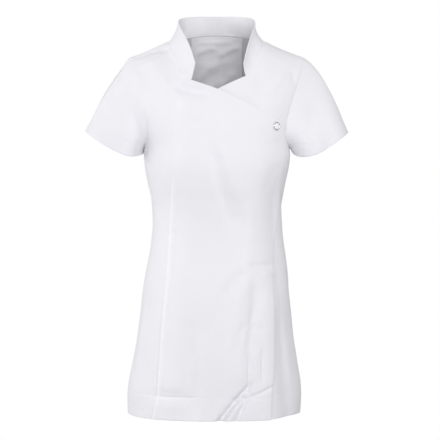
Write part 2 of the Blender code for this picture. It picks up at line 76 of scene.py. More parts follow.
print("CAD box:", [tuple(round(c, 4) for c in corner) for corner in cad_box])

# %% [markdown]
# ## The camera
#
# A garment is usually photographed from far away with a long lens, so that its near and far sides keep the same
# scale. The camera stands a little below the bust and looks very slightly down. Its focal length follows from the
# distance and from how many metres one pixel covers at the side seams.

# %% Camera
IMAGE_SIDE = 440
METRES_PER_PIXEL = 0.0021
SENSOR_WIDTH = 36.0
CAMERA_PLACE = Vector((0.0073, -3.5, -0.30))
CAMERA_AIM = Vector((0.0073, 0.0, -0.374))


def put_in_scene(name, data):
    """A new object in the scene, made of a mesh, a camera or a lamp."""
    made = bpy.data.objects.new(name, data)
    bpy.context.scene.collection.objects.link(made)
    return made


def aim(thing, place_at, target):
    """Stands a camera or a lamp at a place and turns it to a target."""
    thing.location = place_at
    thing.rotation_euler = (Vector(target) - Vector(place_at)).to_track_quat("-Z", "Y").to_euler()


camera = put_in_scene("camera", bpy.data.cameras.new("camera"))
bpy.context.scene.camera = camera
camera.data.sensor_width = SENSOR_WIDTH
camera.data.lens = SENSOR_WIDTH * -CAMERA_PLACE.y / (IMAGE_SIDE * METRES_PER_PIXEL)
aim(camera, CAMERA_PLACE, CAMERA_AIM)
print("focal length in mm:", round(camera.data.lens, 1))

# %% [markdown]
# ## The studio
#
# White cloth on white is lit softly from nearly everywhere, and a little more from one side, so that its folds
# still show. The sky is plain white where the camera looks at it and dimmer in the light that it gives. One lamp
# stands in front and reaches in through the neck, a large one lights the left of the picture, and two small near
# ones fill the chest from the right, which leaves the lower right a little darker. The floor is pale and plain.

# %% Floor, sky and lamps
SKY_LIGHT, SKY_COLOUR = 0.485, (0.97, 0.975, 1, 1)
FLOOR_DROP, FLOOR_RADIUS, FLOOR_COLOUR = 0.30, 1.4, (0.60, 0.60, 0.61, 1)
LAMPS = (  # name, place, target, width, power in watts
    ("front", (0.0, -2.6, 0.2), (0.0, 0.0, -0.1), 0.9, 22.6),
    ("left_side", (-2.8, 0.2, 0.2), (0.0, 0.0, -0.35), 1.8, 35.0),
    ("near_right", (0.7, -2.0, 0.3), (0.05, -0.05, -0.25), 0.6, 5.3),
    ("upper_right", (1.5, -1.4, 0.9), (0.1, 0.0, -0.2), 0.8, 5.9),
)


def node(tree, kind, **values):
    """A shader node with its sockets and its own settings filled in."""
    made = tree.nodes.new("ShaderNode" + kind)
    for name, value in values.items():
        if name in made.inputs:
            made.inputs[name].default_value = value
        else:
            setattr(made, name, value)
    return made


def sky(light):
    """A sky that looks plain white and gives soft light of a set strength."""
    world = bpy.data.worlds.new("studio_sky")
    world.use_nodes = True
    tree = world.node_tree
    seen = tree.nodes["Background"]
    seen.inputs["Color"].default_value = (1, 1, 1, 1)
    given = node(tree, "Background", Color=SKY_COLOUR, Strength=light)
    ray, mix = node(tree, "LightPath"), node(tree, "MixShader")
    tree.links.new(ray.outputs["Is Camera Ray"], mix.inputs["Fac"])
    tree.links.new(given.outputs[0], mix.inputs[1])
    tree.links.new(seen.outputs[0], mix.inputs[2])
    tree.links.new(mix.outputs[0], tree.nodes["World Output"].inputs["Surface"])
    return world


def new_finish(name, **sockets):
    """A material, its node tree and its shader, with sockets of the shader filled in (_ stands for a space)."""
    made = bpy.data.materials.new(name)
    made.use_nodes = True
    shader = made.node_tree.nodes["Principled BSDF"]
    for socket, value in sockets.items():
        shader.inputs[socket.replace("_", " ")].default_value = value
    return made, made.node_tree, shader


bpy.context.scene.world = sky(SKY_LIGHT)
bpy.context.scene.view_settings.view_transform = "Standard"
bpy.ops.mesh.primitive_circle_add(
    vertices=128, radius=FLOOR_RADIUS, fill_type="NGON", location=(0, 0, cad_box[0].z - FLOOR_DROP)
)
floor = bpy.context.object
floor.name = "floor"
floor.data.materials.append(new_finish("floor_pale", Base_Color=FLOOR_COLOUR, Roughness=0.9)[0])
for lamp_name, stand, target, width, power in LAMPS:
    lamp = put_in_scene(lamp_name, bpy.data.lights.new(lamp_name, "AREA"))
    lamp.data.size = width
    lamp.data.energy = power
    lamp.visible_camera = False
    aim(lamp, stand, target)
print("lamps:", [lamp_name for lamp_name, *_ in LAMPS])

# %% [markdown]
# ## Curves from short tables
#
# A pattern cutter writes a garment down as a few measured points and draws smooth lines through them. These
# helpers do the same: a table has named columns, and a smooth curve is read anywhere between its rows.


# %% Tables and smooth curves
def table(names, *rows):
    """A short table as a dictionary of named columns."""
    return dict(zip(names.split(), np.array(rows, float).T))


def smooth(at, xs, ys):
    """A smooth curve through the points (xs, ys), read at `at`."""
    slopes = np.gradient(ys, xs)
    i = np.clip(np.searchsorted(xs, at) - 1, 0, len(xs) - 2)
    width = xs[i + 1] - xs[i]
    t = np.clip((at - xs[i]) / width, 0, 1)
    start = (1 + 2 * t) * (1 - t) ** 2 * ys[i] + t * (1 - t) ** 2 * width * slopes[i]
    end = t**2 * (3 - 2 * t) * ys[i + 1] - t**2 * (1 - t) * width * slopes[i + 1]
    return start + end


def ease(amount):
    """From 0 to 1, with a soft start and a soft end."""
    amount = np.clip(amount, 0, 1)
    return amount**2 * (3 - 2 * amount)


def hump(far, width):
    """1 on a line and less away from it, in the shape of a bell."""
    return np.exp(-((far / width) ** 2))


def far_along(points, axis=0):
    """How far each point of a line lies along it. In a grid, the lines run along one of its axes."""
    steps = np.linalg.norm(np.diff(points, axis=axis), axis=-1)
    return np.pad(np.cumsum(steps, axis=axis), [(int(i == axis), 0) for i in range(steps.ndim)])


def read_at(at, far, line):
    """The points of a line at the lengths `at`, from how far its own points lie along it."""
    return np.stack([np.interp(at, far, line[:, i]) for i in range(3)], axis=-1)


print("a soft start and a soft end:", [round(float(ease(t)), 2) for t in (0.1, 0.5, 0.9)])

# %% [markdown]
# ## The form of the body
#
# The body of the tunic is one closed surface, the same as in the CAD model. Two numbers find a point on it. The
# share runs across, from -1 at the wearer's right side seam through 0 at the centre to +1 at the left side seam.
# The level runs up: it is the height below the bust, and above the bust it counts on along the curve over the
# shoulder, up to the crest. Past the crest it runs down the other side. A sculpted mesh could have this form too,
# but here every seam and fold can say exactly where it lies.

# %% Sections of the body
FRONT, BACK, RIGHT, LEFT = -1, 1, -2, 2
BUST_HEIGHT = -0.255
SHOULDER_CURVE = 0.4006
CREST = BUST_HEIGHT + SHOULDER_CURVE
WAIST = -0.380
HEM = -0.778
HEM_DEPTH = 0.046
NECK_HALF_WIDTH = 0.098
SHOULDER_SLOPE, SHOULDER_EASE, SHOULDER_SOFT = 0.523, 1.27, 0.008
NECK_RISE = {FRONT: 0.030, BACK: 0.113}
SIDE_SEAM_Y = 0.005
SEAM_FORWARD = 0.045
UNDERARM = -0.2186
SEAM_GAP = 0.0006  # between the middles of two cloths, whose rounded edges then meet at the seam
SHOULDER_GAP = 0.0013  # the same as a level, which runs quicker over the shoulder than the cloth does
NUDGE = 1e-4  # a small step along the cloth, to find which way it faces or runs

SECTIONS = table(
    "level half_width front back roundness shift",
    (-0.790, 0.1775, 0.140, 0.142, 2.15, -0.0050),
    (-0.728, 0.1810, 0.139, 0.142, 2.15, -0.0042),
    (-0.674, 0.1730, 0.136, 0.142, 2.15, -0.0035),
    (-0.613, 0.1640, 0.132, 0.140, 2.18, -0.0020),
    (-0.554, 0.1570, 0.126, 0.134, 2.20, -0.0007),
    (-0.496, 0.1505, 0.118, 0.122, 2.22, 0.0004),
    (-0.454, 0.1440, 0.111, 0.108, 2.25, 0.0012),
    (-0.418, 0.1382, 0.106, 0.098, 2.28, 0.0016),
    (-0.380, 0.1350, 0.104, 0.092, 2.30, 0.0015),
    (-0.336, 0.1362, 0.110, 0.093, 2.32, 0.0008),
    (-0.300, 0.1432, 0.119, 0.098, 2.32, 0.0005),
    (-0.262, 0.1505, 0.125, 0.103, 2.28, 0.0008),
    (-0.236, 0.1525, 0.125, 0.105, 2.24, 0.0010),
    (-0.2186, 0.1510, 0.124, 0.106, 2.22, 0.0010),
    (-0.170, 0.1600, 0.122, 0.108, 2.20, 0.0),
    (-0.110, 0.1740, 0.121, 0.109, 2.20, 0.0),
    (-0.020, 0.1930, 0.122, 0.108, 2.20, 0.0),
    (0.1456, 0.2070, 0.124, 0.105, 2.20, 0.0),
)
print("sections of the body:", len(SECTIONS["level"]))

# %% [markdown]
# ## From sections to a surface
#
# Between the sections every size is read from a smooth curve, so the surface is smooth too. A section is an
# ellipse that is a little squarer than a true one: its roundness would be 2 for an ellipse and grows towards a
# box. Above the bust the front and the back lean in along a quarter turn, until they meet at the shoulder's crest.


# %% The surface
def by_side(side, front, back):
    """One value for the front and another for the back."""
    return np.where(np.asarray(side) < 0, front, back)


def crest_height(x, side):
    """The height of the shoulder's crest at x, and of the form that swells up inside the neck's seam."""
    inside = np.clip(1 - (x / NECK_HALF_WIDTH) ** 2, 0, 1)
    past = np.abs(x) - NECK_HALF_WIDTH
    outside = (past + np.sqrt(past**2 + SHOULDER_SOFT**2) - SHOULDER_SOFT) / 2
    fall = (SHOULDER_SLOPE - SHOULDER_EASE * outside) * outside
    return by_side(side, NECK_RISE[FRONT], NECK_RISE[BACK]) * inside**2 - fall


def section(name, level):
    """One column of the table of sections, read at any level."""
    return smooth(level, SECTIONS["level"], SECTIONS[name])


def bare_form(share, level, side):
    """Points of the form without folds."""
    over = level > CREST
    level = np.where(over, 2 * CREST - level, level)
    side = np.where(over, -side, side)
    power = 2 / section("roundness", level)
    sine, cosine = np.sin(share * math.pi / 2), np.cos(share * math.pi / 2)
    x = section("half_width", level) * np.sign(sine) * np.abs(sine) ** power + section("shift", level)
    depth = by_side(side, section("front", level), section("back", level))
    rise = np.clip((level - BUST_HEIGHT) / SHOULDER_CURVE, 0, 1) * math.pi / 2
    y = SIDE_SEAM_Y + side * depth * np.sign(cosine) * np.abs(cosine) ** power * np.cos(rise)
    z = np.minimum(level, BUST_HEIGHT) + (crest_height(x, side) - BUST_HEIGHT) * np.sin(rise)
    return np.stack(np.broadcast_arrays(x, y, z), axis=-1)


def outward(share, level, side):
    """The direction straight out of the form."""
    across = bare_form(share + NUDGE, level, side) - bare_form(share - NUDGE, level, side)
    up = bare_form(share, level + NUDGE, side) - bare_form(share, level - NUDGE, side)
    normal = np.cross(across, up) * -np.sign(np.asarray(side, float))[..., None]
    return normal / np.linalg.norm(normal, axis=-1, keepdims=True)


def place(x, z, side):
    """The share and level of the form's point at x and z."""
    rise = np.arcsin(np.clip((z - BUST_HEIGHT) / (crest_height(x, side) - BUST_HEIGHT), 0, 1))
    level = np.where(z < BUST_HEIGHT, z, BUST_HEIGHT + rise / (math.pi / 2) * SHOULDER_CURVE)
    reach = np.clip(np.abs(x - section("shift", level)) / section("half_width", level), 0, 1)
    share = np.arcsin(reach ** (section("roundness", level) / 2)) / (math.pi / 2)
    return share * np.sign(x - section("shift", level)), level


whole_way = np.linspace(-1, 1, 201)
waist = [far_along(bare_form(whole_way, np.full(201, WAIST), side))[-1] for side in (FRONT, BACK)]
print("round the waist in metres:", round(float(sum(waist)), 2))

# %% [markdown]
# ## Where the pieces end
#
# Each seam or free edge is drawn as points on the front, measured across and up. The wrap front ends at its
# closing edge and at the slanting edge of its neck. The armhole is an upright line that ends in a round bottom, and
# the neck's seam is drawn down to each end of the collar. Curves drawn by hand in Blender would do as well, but a
# table can be measured from a photo or a pattern and corrected point by point.

# %% Seams and edges
ARMHOLE = table(
    "level front back",
    (-0.2200, 0.700, 0.760),
    (-0.1300, 0.690, 0.745),
    (-0.0500, 0.695, 0.720),
    (0.0500, 0.700, 0.700),
    (0.1456, 0.676, 0.676),
)
NECK_BACK_HEIGHT = 0.019
NECK_FRONT = table(
    "x z",
    (0.0520, -0.0858),
    (0.0645, -0.0730),
    (0.0735, -0.0590),
    (0.0840, -0.0335),
    (0.0945, -0.0125),
    (0.0980, -0.0005),
)
PRINCESS_SEAM = table(
    "x z",
    (-0.1300, HEM),
    (-0.1222, -0.729),
    (-0.1178, -0.665),
    (-0.1148, -0.617),
    (-0.1100, -0.557),
    (-0.1025, -0.495),
    (-0.0970, -0.403),
    (-0.0932, -0.342),
    (-0.0908, -0.296),
    (-0.0886, -0.188),
    (-0.0960, -0.110),
    (-0.1190, -0.012),
)
CLOSING_EDGE = table(
    "x z",
    (0.1065, HEM),
    (0.1108, -0.719),
    (0.1151, -0.679),
    (0.1169, -0.598),
    (0.1169, -0.489),
    (0.1202, -0.451),
    (0.1232, -0.421),
    (0.1278, -0.380),
    (0.1318, -0.342),
    (0.1355, -0.283),
    (0.1405, -0.228),
    (0.1400, -0.197),
    (0.1375, -0.1685),
)
WRAP_NECK_EDGE = table(
    "x z", (0.1375, -0.1685), (0.1170, -0.1600), (0.0501, -0.1283), (0.0006, -0.1046), (-0.0520, -0.0858)
)
UNDER_NECK_EDGE = table("x z", (-0.050, -0.1290), (0.0006, -0.1046), (0.0605, -0.0770))
print("points that draw the closing edge:", len(CLOSING_EDGE["x"]))

# %% [markdown]
# ## Edges read level by level
#
# A panel is a grid whose rows run from one edge to another, so each edge has to say at which share it lies for
# any level. The points of a table are joined by a smooth line, and the line's points are found again on the form.
# An edge that turns a corner, as the wrap's does at the stud, is made of one line below it and another above.

# %% Edges
EDGE_STEPS = 12


def traced(x, z, side):
    """The edge along close points of the form, as a share for a level."""
    shares, levels = place(x, z, side)
    return lambda level: np.interp(level, levels, shares)


def edge(points):
    """The smooth edge on the front through a table's points."""
    rows = np.arange(len(points["x"]))
    at = np.linspace(0, rows[-1], rows[-1] * EDGE_STEPS + 1)
    return traced(smooth(at, rows, points["x"]), smooth(at, rows, points["z"]), FRONT)


def level_of(points, row):
    """The level of one point of a table on the front."""
    return float(place(points["x"][row], points["z"][row], FRONT)[1])


ARM_TURN = level_of(CLOSING_EDGE, -1)
POINT_OF_NECK = level_of(WRAP_NECK_EDGE, -2)
HIDDEN_CORNER = level_of(UNDER_NECK_EDGE, 0)
COLLAR_END = {-1: level_of(WRAP_NECK_EDGE, -1), 1: level_of(UNDER_NECK_EDGE, -1)}
SHOULDER_SEAM = CREST - SEAM_FORWARD
PRINCESS, CLOSING, NECK_SLANT, UNDER_SLANT, COLLAR_SEAM = (
    edge(points) for points in (PRINCESS_SEAM, CLOSING_EDGE, WRAP_NECK_EDGE, UNDER_NECK_EDGE, NECK_FRONT)
)


def neck_back_height(x):
    """The height of the neck's seam across the back."""
    return NECK_BACK_HEIGHT * (1 - (x / NECK_HALF_WIDTH) ** 2)


NECK_BACK_X = NECK_HALF_WIDTH * np.linspace(0, 1, EDGE_STEPS * EDGE_STEPS + 1)
COLLAR_SEAM_BACK = traced(NECK_BACK_X, neck_back_height(NECK_BACK_X), BACK)
print("the wrap's corner lies at level", round(ARM_TURN, 4))

# %% [markdown]
# ## Outlines of the panels
#
# Going up a panel, one edge hands over to the next: the side seam to the armhole, the closing edge to the slanting
# edge, and that to the collar's seam. The panels end half a seam's gap short of each other, so that their rounded
# edges meet there and don't run into each other.


# %% Outlines
def seam_share(level):
    """Half the gap of a seam, as a share of the way round."""
    return SEAM_GAP / 2 / (section("front", level) * math.pi / 2)


def neck_edge(level, side):
    """The neck's seam on the wearer's left. On the back it runs on past the crest, to the shoulder seam."""
    front, back = COLLAR_SEAM(level), COLLAR_SEAM_BACK(level)
    return np.where(level > CREST, COLLAR_SEAM(2 * CREST - level), by_side(side, front, back))


def arm_edge(level, side):
    """The side seam up to the underarm, then the armhole: an upright edge that ends below in a quarter ellipse."""
    past = level > CREST
    level = np.where(past, 2 * CREST - level, level)
    front, back = (smooth(level, ARMHOLE["level"], ARMHOLE[name]) for name in ("front", "back"))
    upright = np.where(past, front, by_side(side, front, back))
    drop = np.clip((ARM_TURN - level) / (ARM_TURN - UNDERARM), 0, 1)
    return 1 - (1 - upright) * np.sqrt(1 - drop**2) - seam_share(level)


def wrap_edge(level):
    """The wrap's closing edge, then its slanting neck edge, then the collar's seam."""
    ends = [level <= ARM_TURN, level <= COLLAR_END[-1]]
    return np.select(ends, [CLOSING(level), NECK_SLANT(level)], -neck_edge(level, FRONT))


def under_edge(level):
    """The under front's plain edge under the wrap, then its slanting neck edge, then the collar's seam."""
    hidden = UNDER_SLANT(HIDDEN_CORNER) + 0 * level
    ends = [level <= HIDDEN_CORNER, level <= COLLAR_END[1]]
    return np.select(ends, [hidden, UNDER_SLANT(level)], neck_edge(level, FRONT))


print("the wrap's share of the waist at its closing edge:", round(float(wrap_edge(np.array(WAIST))), 3))

# %% [markdown]
# ## Folds and creases
#
# Firm white twill hangs almost smooth. A few soft folds are pulled from the bust towards the waist and from the
# shoulder seam, small creases gather where the wrap laps over, and the hem is puckered at one place. A cloth
# simulation would put its folds where it likes, so here each one is placed one by one, like a fold that a stylist
# sets: a line from one point to another, with a bend, a width and a height that fades out at both ends. The first
# table holds the broad folds that the CAD model has too, and the second adds the finer ones.

# %% Broad folds
BROAD_FOLDS = table(
    "side x0 z0 x1 z1 width height",
    (FRONT, -0.042, -0.175, 0.000, -0.250, 0.014, -0.0028),
    (FRONT, 0.000, -0.250, 0.036, -0.365, 0.016, -0.0026),
    (FRONT, 0.026, -0.240, 0.052, -0.350, 0.018, 0.0022),
    (FRONT, -0.165, -0.060, -0.085, -0.135, 0.013, -0.0026),
    (FRONT, -0.135, -0.055, -0.060, -0.150, 0.014, 0.0022),
    (FRONT, -0.062, -0.098, -0.020, -0.118, 0.012, -0.0026),
    (FRONT, 0.060, -0.470, 0.048, -0.690, 0.018, 0.0030),
    (FRONT, 0.080, -0.520, 0.066, -0.720, 0.014, -0.0026),
    (FRONT, -0.052, -0.600, -0.056, -0.760, 0.022, -0.0024),
    (FRONT, -0.145, -0.560, -0.160, -0.760, 0.020, -0.0022),
    (FRONT, 0.136, -0.500, 0.148, -0.740, 0.016, -0.0022),
    (FRONT, 0.052, -0.735, 0.008, -0.790, 0.011, -0.0030),
    (BACK, -0.080, -0.430, 0.020, -0.395, 0.016, -0.0034),
    (BACK, 0.090, -0.400, -0.010, -0.365, 0.016, -0.0030),
    (BACK, -0.070, -0.330, 0.030, -0.345, 0.014, 0.0024),
    (BACK, -0.070, -0.560, -0.085, -0.790, 0.026, -0.0034),
    (BACK, 0.060, -0.580, 0.078, -0.790, 0.028, -0.0034),
    (BACK, 0.000, -0.620, 0.000, -0.790, 0.030, 0.0026),
    (BACK, -0.110, -0.160, -0.060, -0.290, 0.018, -0.0026),
    (BACK, 0.115, -0.150, 0.070, -0.280, 0.018, -0.0026),
)
print("broad folds:", len(BROAD_FOLDS["side"]))

# %% [markdown]
# ## The finer creases
#
# Each crease is drawn on one side of the tunic. There `a` is x on the front and back, and y on the wearer's right
# and left. Drawn with larger `a` to the right and z up, a bend swings to the left of the way from the first point
# to the second. A row with a height below zero is a valley, and one above zero is a ridge.

# %% Creases
CREASES = table(
    "side a0 z0 a1 z1 bend width height",
    # shoulder, armhole and collar
    (FRONT, -0.218, -0.045, -0.084, -0.007, 0.001, 0.0060, -0.0074),
    (FRONT, -0.190, -0.066, -0.110, -0.038, 0.001, 0.0080, 0.0018),
    (FRONT, -0.188, -0.040, -0.170, -0.092, 0.000, 0.007, -0.0034),
    (FRONT, -0.172, -0.046, -0.153, -0.106, 0.002, 0.008, 0.0028),
    (FRONT, -0.116, 0.010, -0.060, -0.110, -0.003, 0.016, -0.0064),
    (FRONT, -0.100, -0.070, 0.010, -0.098, 0.003, 0.008, 0.0026),
    (FRONT, -0.098, -0.090, -0.004, -0.106, -0.010, 0.010, -0.0076),
    # from the bust down, and above the stud
    (FRONT, -0.014, -0.225, 0.034, -0.400, -0.003, 0.009, -0.0016),
    (FRONT, 0.010, -0.215, 0.046, -0.345, -0.003, 0.011, 0.0020),
    (FRONT, 0.106, -0.114, 0.148, -0.066, 0.002, 0.008, 0.0020),
    (FRONT, 0.086, -0.060, 0.092, -0.130, 0.003, 0.012, -0.0020),
    (FRONT, 0.158, -0.058, 0.161, -0.096, 0.000, 0.006, -0.0018),
    # waist and skirt, on the side where the wrap closes
    (FRONT, 0.070, -0.320, 0.058, -0.490, 0.003, 0.014, 0.0024),
    (FRONT, 0.130, -0.230, 0.124, -0.560, 0.000, 0.030, -0.0096),
    (FRONT, 0.146, -0.470, 0.176, -0.960, 0.000, 0.038, -0.0125),
    (FRONT, 0.052, -0.462, 0.128, -0.462, -0.005, 0.0055, -0.0030),
    (FRONT, 0.090, -0.474, 0.132, -0.480, -0.004, 0.007, 0.0016),
    (FRONT, 0.066, -0.470, 0.004, -0.540, -0.004, 0.009, -0.0036),
    (FRONT, 0.056, -0.500, 0.040, -0.618, -0.006, 0.010, 0.0024),
    (FRONT, 0.076, -0.470, 0.050, -0.680, 0.010, 0.0100, -0.0030),
    (FRONT, 0.090, -0.505, 0.068, -0.590, 0.004, 0.008, -0.0020),
    (FRONT, 0.066, -0.592, 0.102, -0.598, 0.003, 0.007, -0.0016),
    (FRONT, 0.092, -0.626, 0.092, -0.710, 0.001, 0.0040, -0.0040),
    (FRONT, 0.067, -0.632, 0.067, -0.740, -0.001, 0.0036, -0.0036),
    (FRONT, 0.079, -0.632, 0.078, -0.714, 0.000, 0.0040, 0.0020),
    (FRONT, 0.062, -0.570, 0.036, -0.660, -0.005, 0.008, -0.0030),
    # skirt, and the hem with its pucker
    (FRONT, -0.048, -0.585, -0.050, -0.800, 0.000, 0.013, -0.0046),
    (FRONT, -0.030, -0.500, -0.020, -0.580, 0.002, 0.012, 0.0014),
    (FRONT, -0.140, -0.7290, -0.040, -0.7300, 0.000, 0.012, -0.0030),
    (FRONT, 0.084, -0.694, -0.024, -0.824, -0.005, 0.0056, -0.0125),
    (FRONT, 0.052, -0.734, 0.004, -0.806, 0.000, 0.0052, 0.0052),
    (FRONT, 0.066, -0.728, 0.024, -0.812, 0.000, 0.0046, -0.0066),
    (FRONT, 0.124, -0.704, 0.026, -0.738, 0.008, 0.0040, -0.0040),
    (FRONT, 0.012, -0.728, -0.006, -0.790, 0.002, 0.0060, 0.0014),
    (FRONT, 0.018, -0.7350, 0.100, -0.7340, -0.001, 0.0028, -0.0024),
    (FRONT, -0.132, -0.7325, -0.026, -0.7315, 0.000, 0.0018, -0.0014),
    # waist, beside the side seams
    (FRONT, -0.112, -0.390, -0.070, -0.420, 0.002, 0.010, -0.0010),
    (FRONT, -0.128, -0.330, -0.104, -0.392, 0.002, 0.008, -0.0012),
    (FRONT, 0.132, -0.246, 0.098, -0.330, -0.004, 0.010, -0.0013),
    # back: across the waist, below the armholes and shoulders, and down the skirt
    (BACK, -0.112, -0.392, -0.030, -0.424, 0.006, 0.007, -0.0024),
    (BACK, -0.096, -0.374, -0.006, -0.380, 0.005, 0.009, 0.0022),
    (BACK, 0.118, -0.424, 0.022, -0.446, -0.006, 0.008, -0.0024),
    (BACK, 0.104, -0.352, 0.018, -0.330, 0.005, 0.008, -0.0020),
    (BACK, 0.092, -0.404, 0.030, -0.414, -0.002, 0.008, 0.0018),
    (BACK, -0.124, -0.178, -0.080, -0.262, 0.006, 0.009, 0.0020),
    (BACK, 0.128, -0.172, 0.086, -0.250, -0.005, 0.009, 0.0020),
    (BACK, -0.060, -0.030, -0.100, -0.120, 0.006, 0.012, -0.0016),
    (BACK, 0.064, -0.034, 0.102, -0.126, -0.005, 0.012, -0.0018),
    (BACK, -0.110, -0.520, -0.124, -0.700, 0.004, 0.013, 0.0022),
    (BACK, 0.108, -0.540, 0.118, -0.720, -0.004, 0.012, 0.0020),
    (BACK, 0.036, -0.560, 0.030, -0.740, 0.003, 0.012, -0.0018),
    (BACK, -0.030, -0.590, -0.024, -0.760, 0.003, 0.011, -0.0016),
    # both sides: waist and skirt
    (RIGHT, -0.020, -0.300, 0.030, -0.372, 0.004, 0.009, -0.0022),
    (RIGHT, 0.040, -0.330, -0.010, -0.398, 0.004, 0.008, -0.0018),
    (RIGHT, 0.010, -0.470, 0.022, -0.640, 0.004, 0.014, -0.0024),
    (RIGHT, -0.040, -0.520, -0.052, -0.720, 0.004, 0.012, 0.0018),
    (RIGHT, 0.062, -0.560, 0.074, -0.750, 0.004, 0.014, 0.0020),
    (LEFT, -0.024, -0.310, 0.026, -0.384, 0.004, 0.009, -0.0022),
    (LEFT, 0.046, -0.318, -0.004, -0.376, 0.004, 0.008, -0.0018),
    (LEFT, 0.000, -0.480, 0.014, -0.660, 0.004, 0.014, -0.0024),
    (LEFT, -0.052, -0.540, -0.060, -0.740, 0.004, 0.012, 0.0018),
    (LEFT, 0.054, -0.540, 0.070, -0.730, 0.004, 0.014, 0.0020),
)
print("folds placed by hand:", len(BROAD_FOLDS["side"]) + len(CREASES["side"]))

# %% [markdown]
# ## Folds as a push
#
# A fold moves the cloth straight in or out. Across its line it has the shape of a bell, and along it the height
# rises and fades, so that folds can cross and simply add up. A crease also fades where the cloth turns away from
# the side that it was drawn on.

# %% How far the folds push the cloth
FOLD_FADE = 0.030
CREASE_ENDS = 0.30  # how much of a crease's length it takes to rise and to fade
TURNED_FROM = 1.8  # a crease fades where the cloth turns away from its side
DRIFT = table(  # slow unevenness of hand-pressed cloth
    "x y z height",
    (31.0, 17.0, 23.0, 0.00035),
    (-19.0, 41.0, 37.0, 0.00030),
    (53.0, -29.0, 61.0, 0.00018),
    (71.0, 47.0, -43.0, 0.00014),
)


def broad_folds(points):
    """How far the broad folds push each point out."""
    push = np.zeros(points.shape[:-1])
    depth = points[..., 1] - SIDE_SEAM_Y
    for side, x0, z0, x1, z1, width, height in zip(*BROAD_FOLDS.values()):
        run = np.array([x1 - x0, z1 - z0])
        spot = points[..., [0, 2]] - (x0, z0)
        along = np.clip(spot @ run / (run @ run), 0, 1)
        away = np.linalg.norm(spot - along[..., None] * run, axis=-1)
        push += np.clip(side * depth / FOLD_FADE, 0, 1) * height * hump(away, width)
    return push


def crease_shape(spots, a0, b0, a1, b1, bend, width):
    """How strongly a bent crease shows at each spot of a flat map, from 0 to 1."""
    run = np.array([a1 - a0, b1 - b0])
    length = np.linalg.norm(run)
    spots = spots - (a0, b0)
    along = spots @ run / length**2
    across = (spots[..., 1] * run[0] - spots[..., 0] * run[1]) / length
    across = across - bend * 4 * along * (1 - along)
    ends = ease(along / CREASE_ENDS) * ease((1 - along) / CREASE_ENDS)
    return ends * hump(across, width)


def creases(points, out, rows=CREASES):
    """How far a table's creases push each point out. Each shows on its own side of the tunic alone."""
    push = np.zeros(points.shape[:-1])
    for side, a0, z0, a1, z1, bend, width, height in zip(*rows.values()):
        axis = 0 if abs(side) == 1 else 1
        shows = np.clip(np.sign(side) * out[..., 1 - axis] * TURNED_FROM, 0, 1)
        push += shows * height * crease_shape(points[..., [axis, 2]], a0, z0, a1, z1, bend, width)
    return push


def drift(points):
    """Slow waves that run through the cloth in several directions."""
    waves = [height * np.sin(points @ np.array([x, y, z]) + x) for x, y, z, height in zip(*DRIFT.values())]
    return np.sum(waves, axis=0)


print("the most that the cloth drifts, in mm:", round(1000 * float(DRIFT["height"].sum()), 2))

# %% [markdown]
# ## Seams, pressed and sewn
#
# Where two pieces are sewn together the cloth dips into a narrow valley, and the allowances that are pressed flat
# beneath it raise a low band on each side. The thread draws the cloth in, so small puckers run along the seam.
# One function gives that profile for any distance from a seam. It is applied to the mesh itself and not painted
# on, so that the seams also show in the shape.

# %% The profile of a seam
SEAM_DIP, SEAM_WIDTH = 0.00025, 0.0018
ALLOWANCE_HEIGHT, ALLOWANCE_WIDTH, ALLOWANCE_SOFT = 0.0003, 0.011, 0.0035
RIDGE_WIDTH = 0.0028
PUCKER_HEIGHT, PUCKER_LENGTH, PUCKER_REACH = 0.00012, 0.013, 0.011
PUCKER_WAY = (0.4, 0.5, 1.0)  # the waves are counted along this, so that no seam runs square to it
PUCKER_STRAY, PUCKER_STRAY_RATE = 2.2, 47  # how far the waves stray from even, and how often


def away_from(points, line):
    """How far each point lies from a line, which is given as close points."""
    tree = KDTree(len(line))
    for i, spot in enumerate(line):
        tree.insert(spot, i)
    tree.balance()
    return np.array([tree.find(point)[2] for point in points.reshape(-1, 3)]).reshape(points.shape[:-1])


def puckers(points, far):
    """Small waves along a line of stitches, from how far each point lies from it."""
    along = points @ np.array(PUCKER_WAY)
    wave = np.sin(along * 2 * math.pi / PUCKER_LENGTH + PUCKER_STRAY * np.sin(along * PUCKER_STRAY_RATE))
    return PUCKER_HEIGHT * wave * hump(far, PUCKER_REACH)


def seam_shape(points, far, pressed=ALLOWANCE_HEIGHT, dip=SEAM_DIP, ridge=0.0, ridge_at=0.0):
    """How far a seam pushes each point out, from how far the point lies from it."""
    band = ease(far / ALLOWANCE_SOFT) * (1 - ease((far - ALLOWANCE_WIDTH) / ALLOWANCE_SOFT))
    rise = ridge * hump(far - ridge_at, RIDGE_WIDTH)
    return pressed * band + rise - dip * hump(far, SEAM_WIDTH) + puckers(points, far)


print("a seam dips, in mm:", 1000 * SEAM_DIP)

# %% [markdown]
# ## Where the seams run
#
# Each seam is kept as a line of close points on the form, so that every point of cloth can ask how far away it
# is. An armhole's line goes round its bottom and up both sides of the shoulder. The neck's runs from the collar's
# front end over the shoulder to the centre back.

# %% Seam lines
LINE_STEP = 0.0012
ARMHOLE_STEPS, ARMHOLE_ROWS = 40, 16  # round its bottom: for the seam's line and for a panel's grid
SHOULDER_STEPS = 120


def turned_levels(steps):
    """Levels round the bottom of the armhole, from the underarm to where its upright part starts."""
    angle = np.linspace(0, math.pi / 2, steps + 1)
    return ARM_TURN - (ARM_TURN - UNDERARM) * np.cos(angle)


def close_levels(low, high):
    """Close levels for a seam's line."""
    return np.linspace(low, high, int((high - low) / LINE_STEP) + 2)


def armhole_half(sign, side):
    """Shares and levels up one half of an armhole, from the underarm to the crest of the shoulder."""
    levels = np.concatenate([turned_levels(ARMHOLE_STEPS)[:-1], close_levels(ARM_TURN, CREST)])
    return sign * arm_edge(levels, side), levels


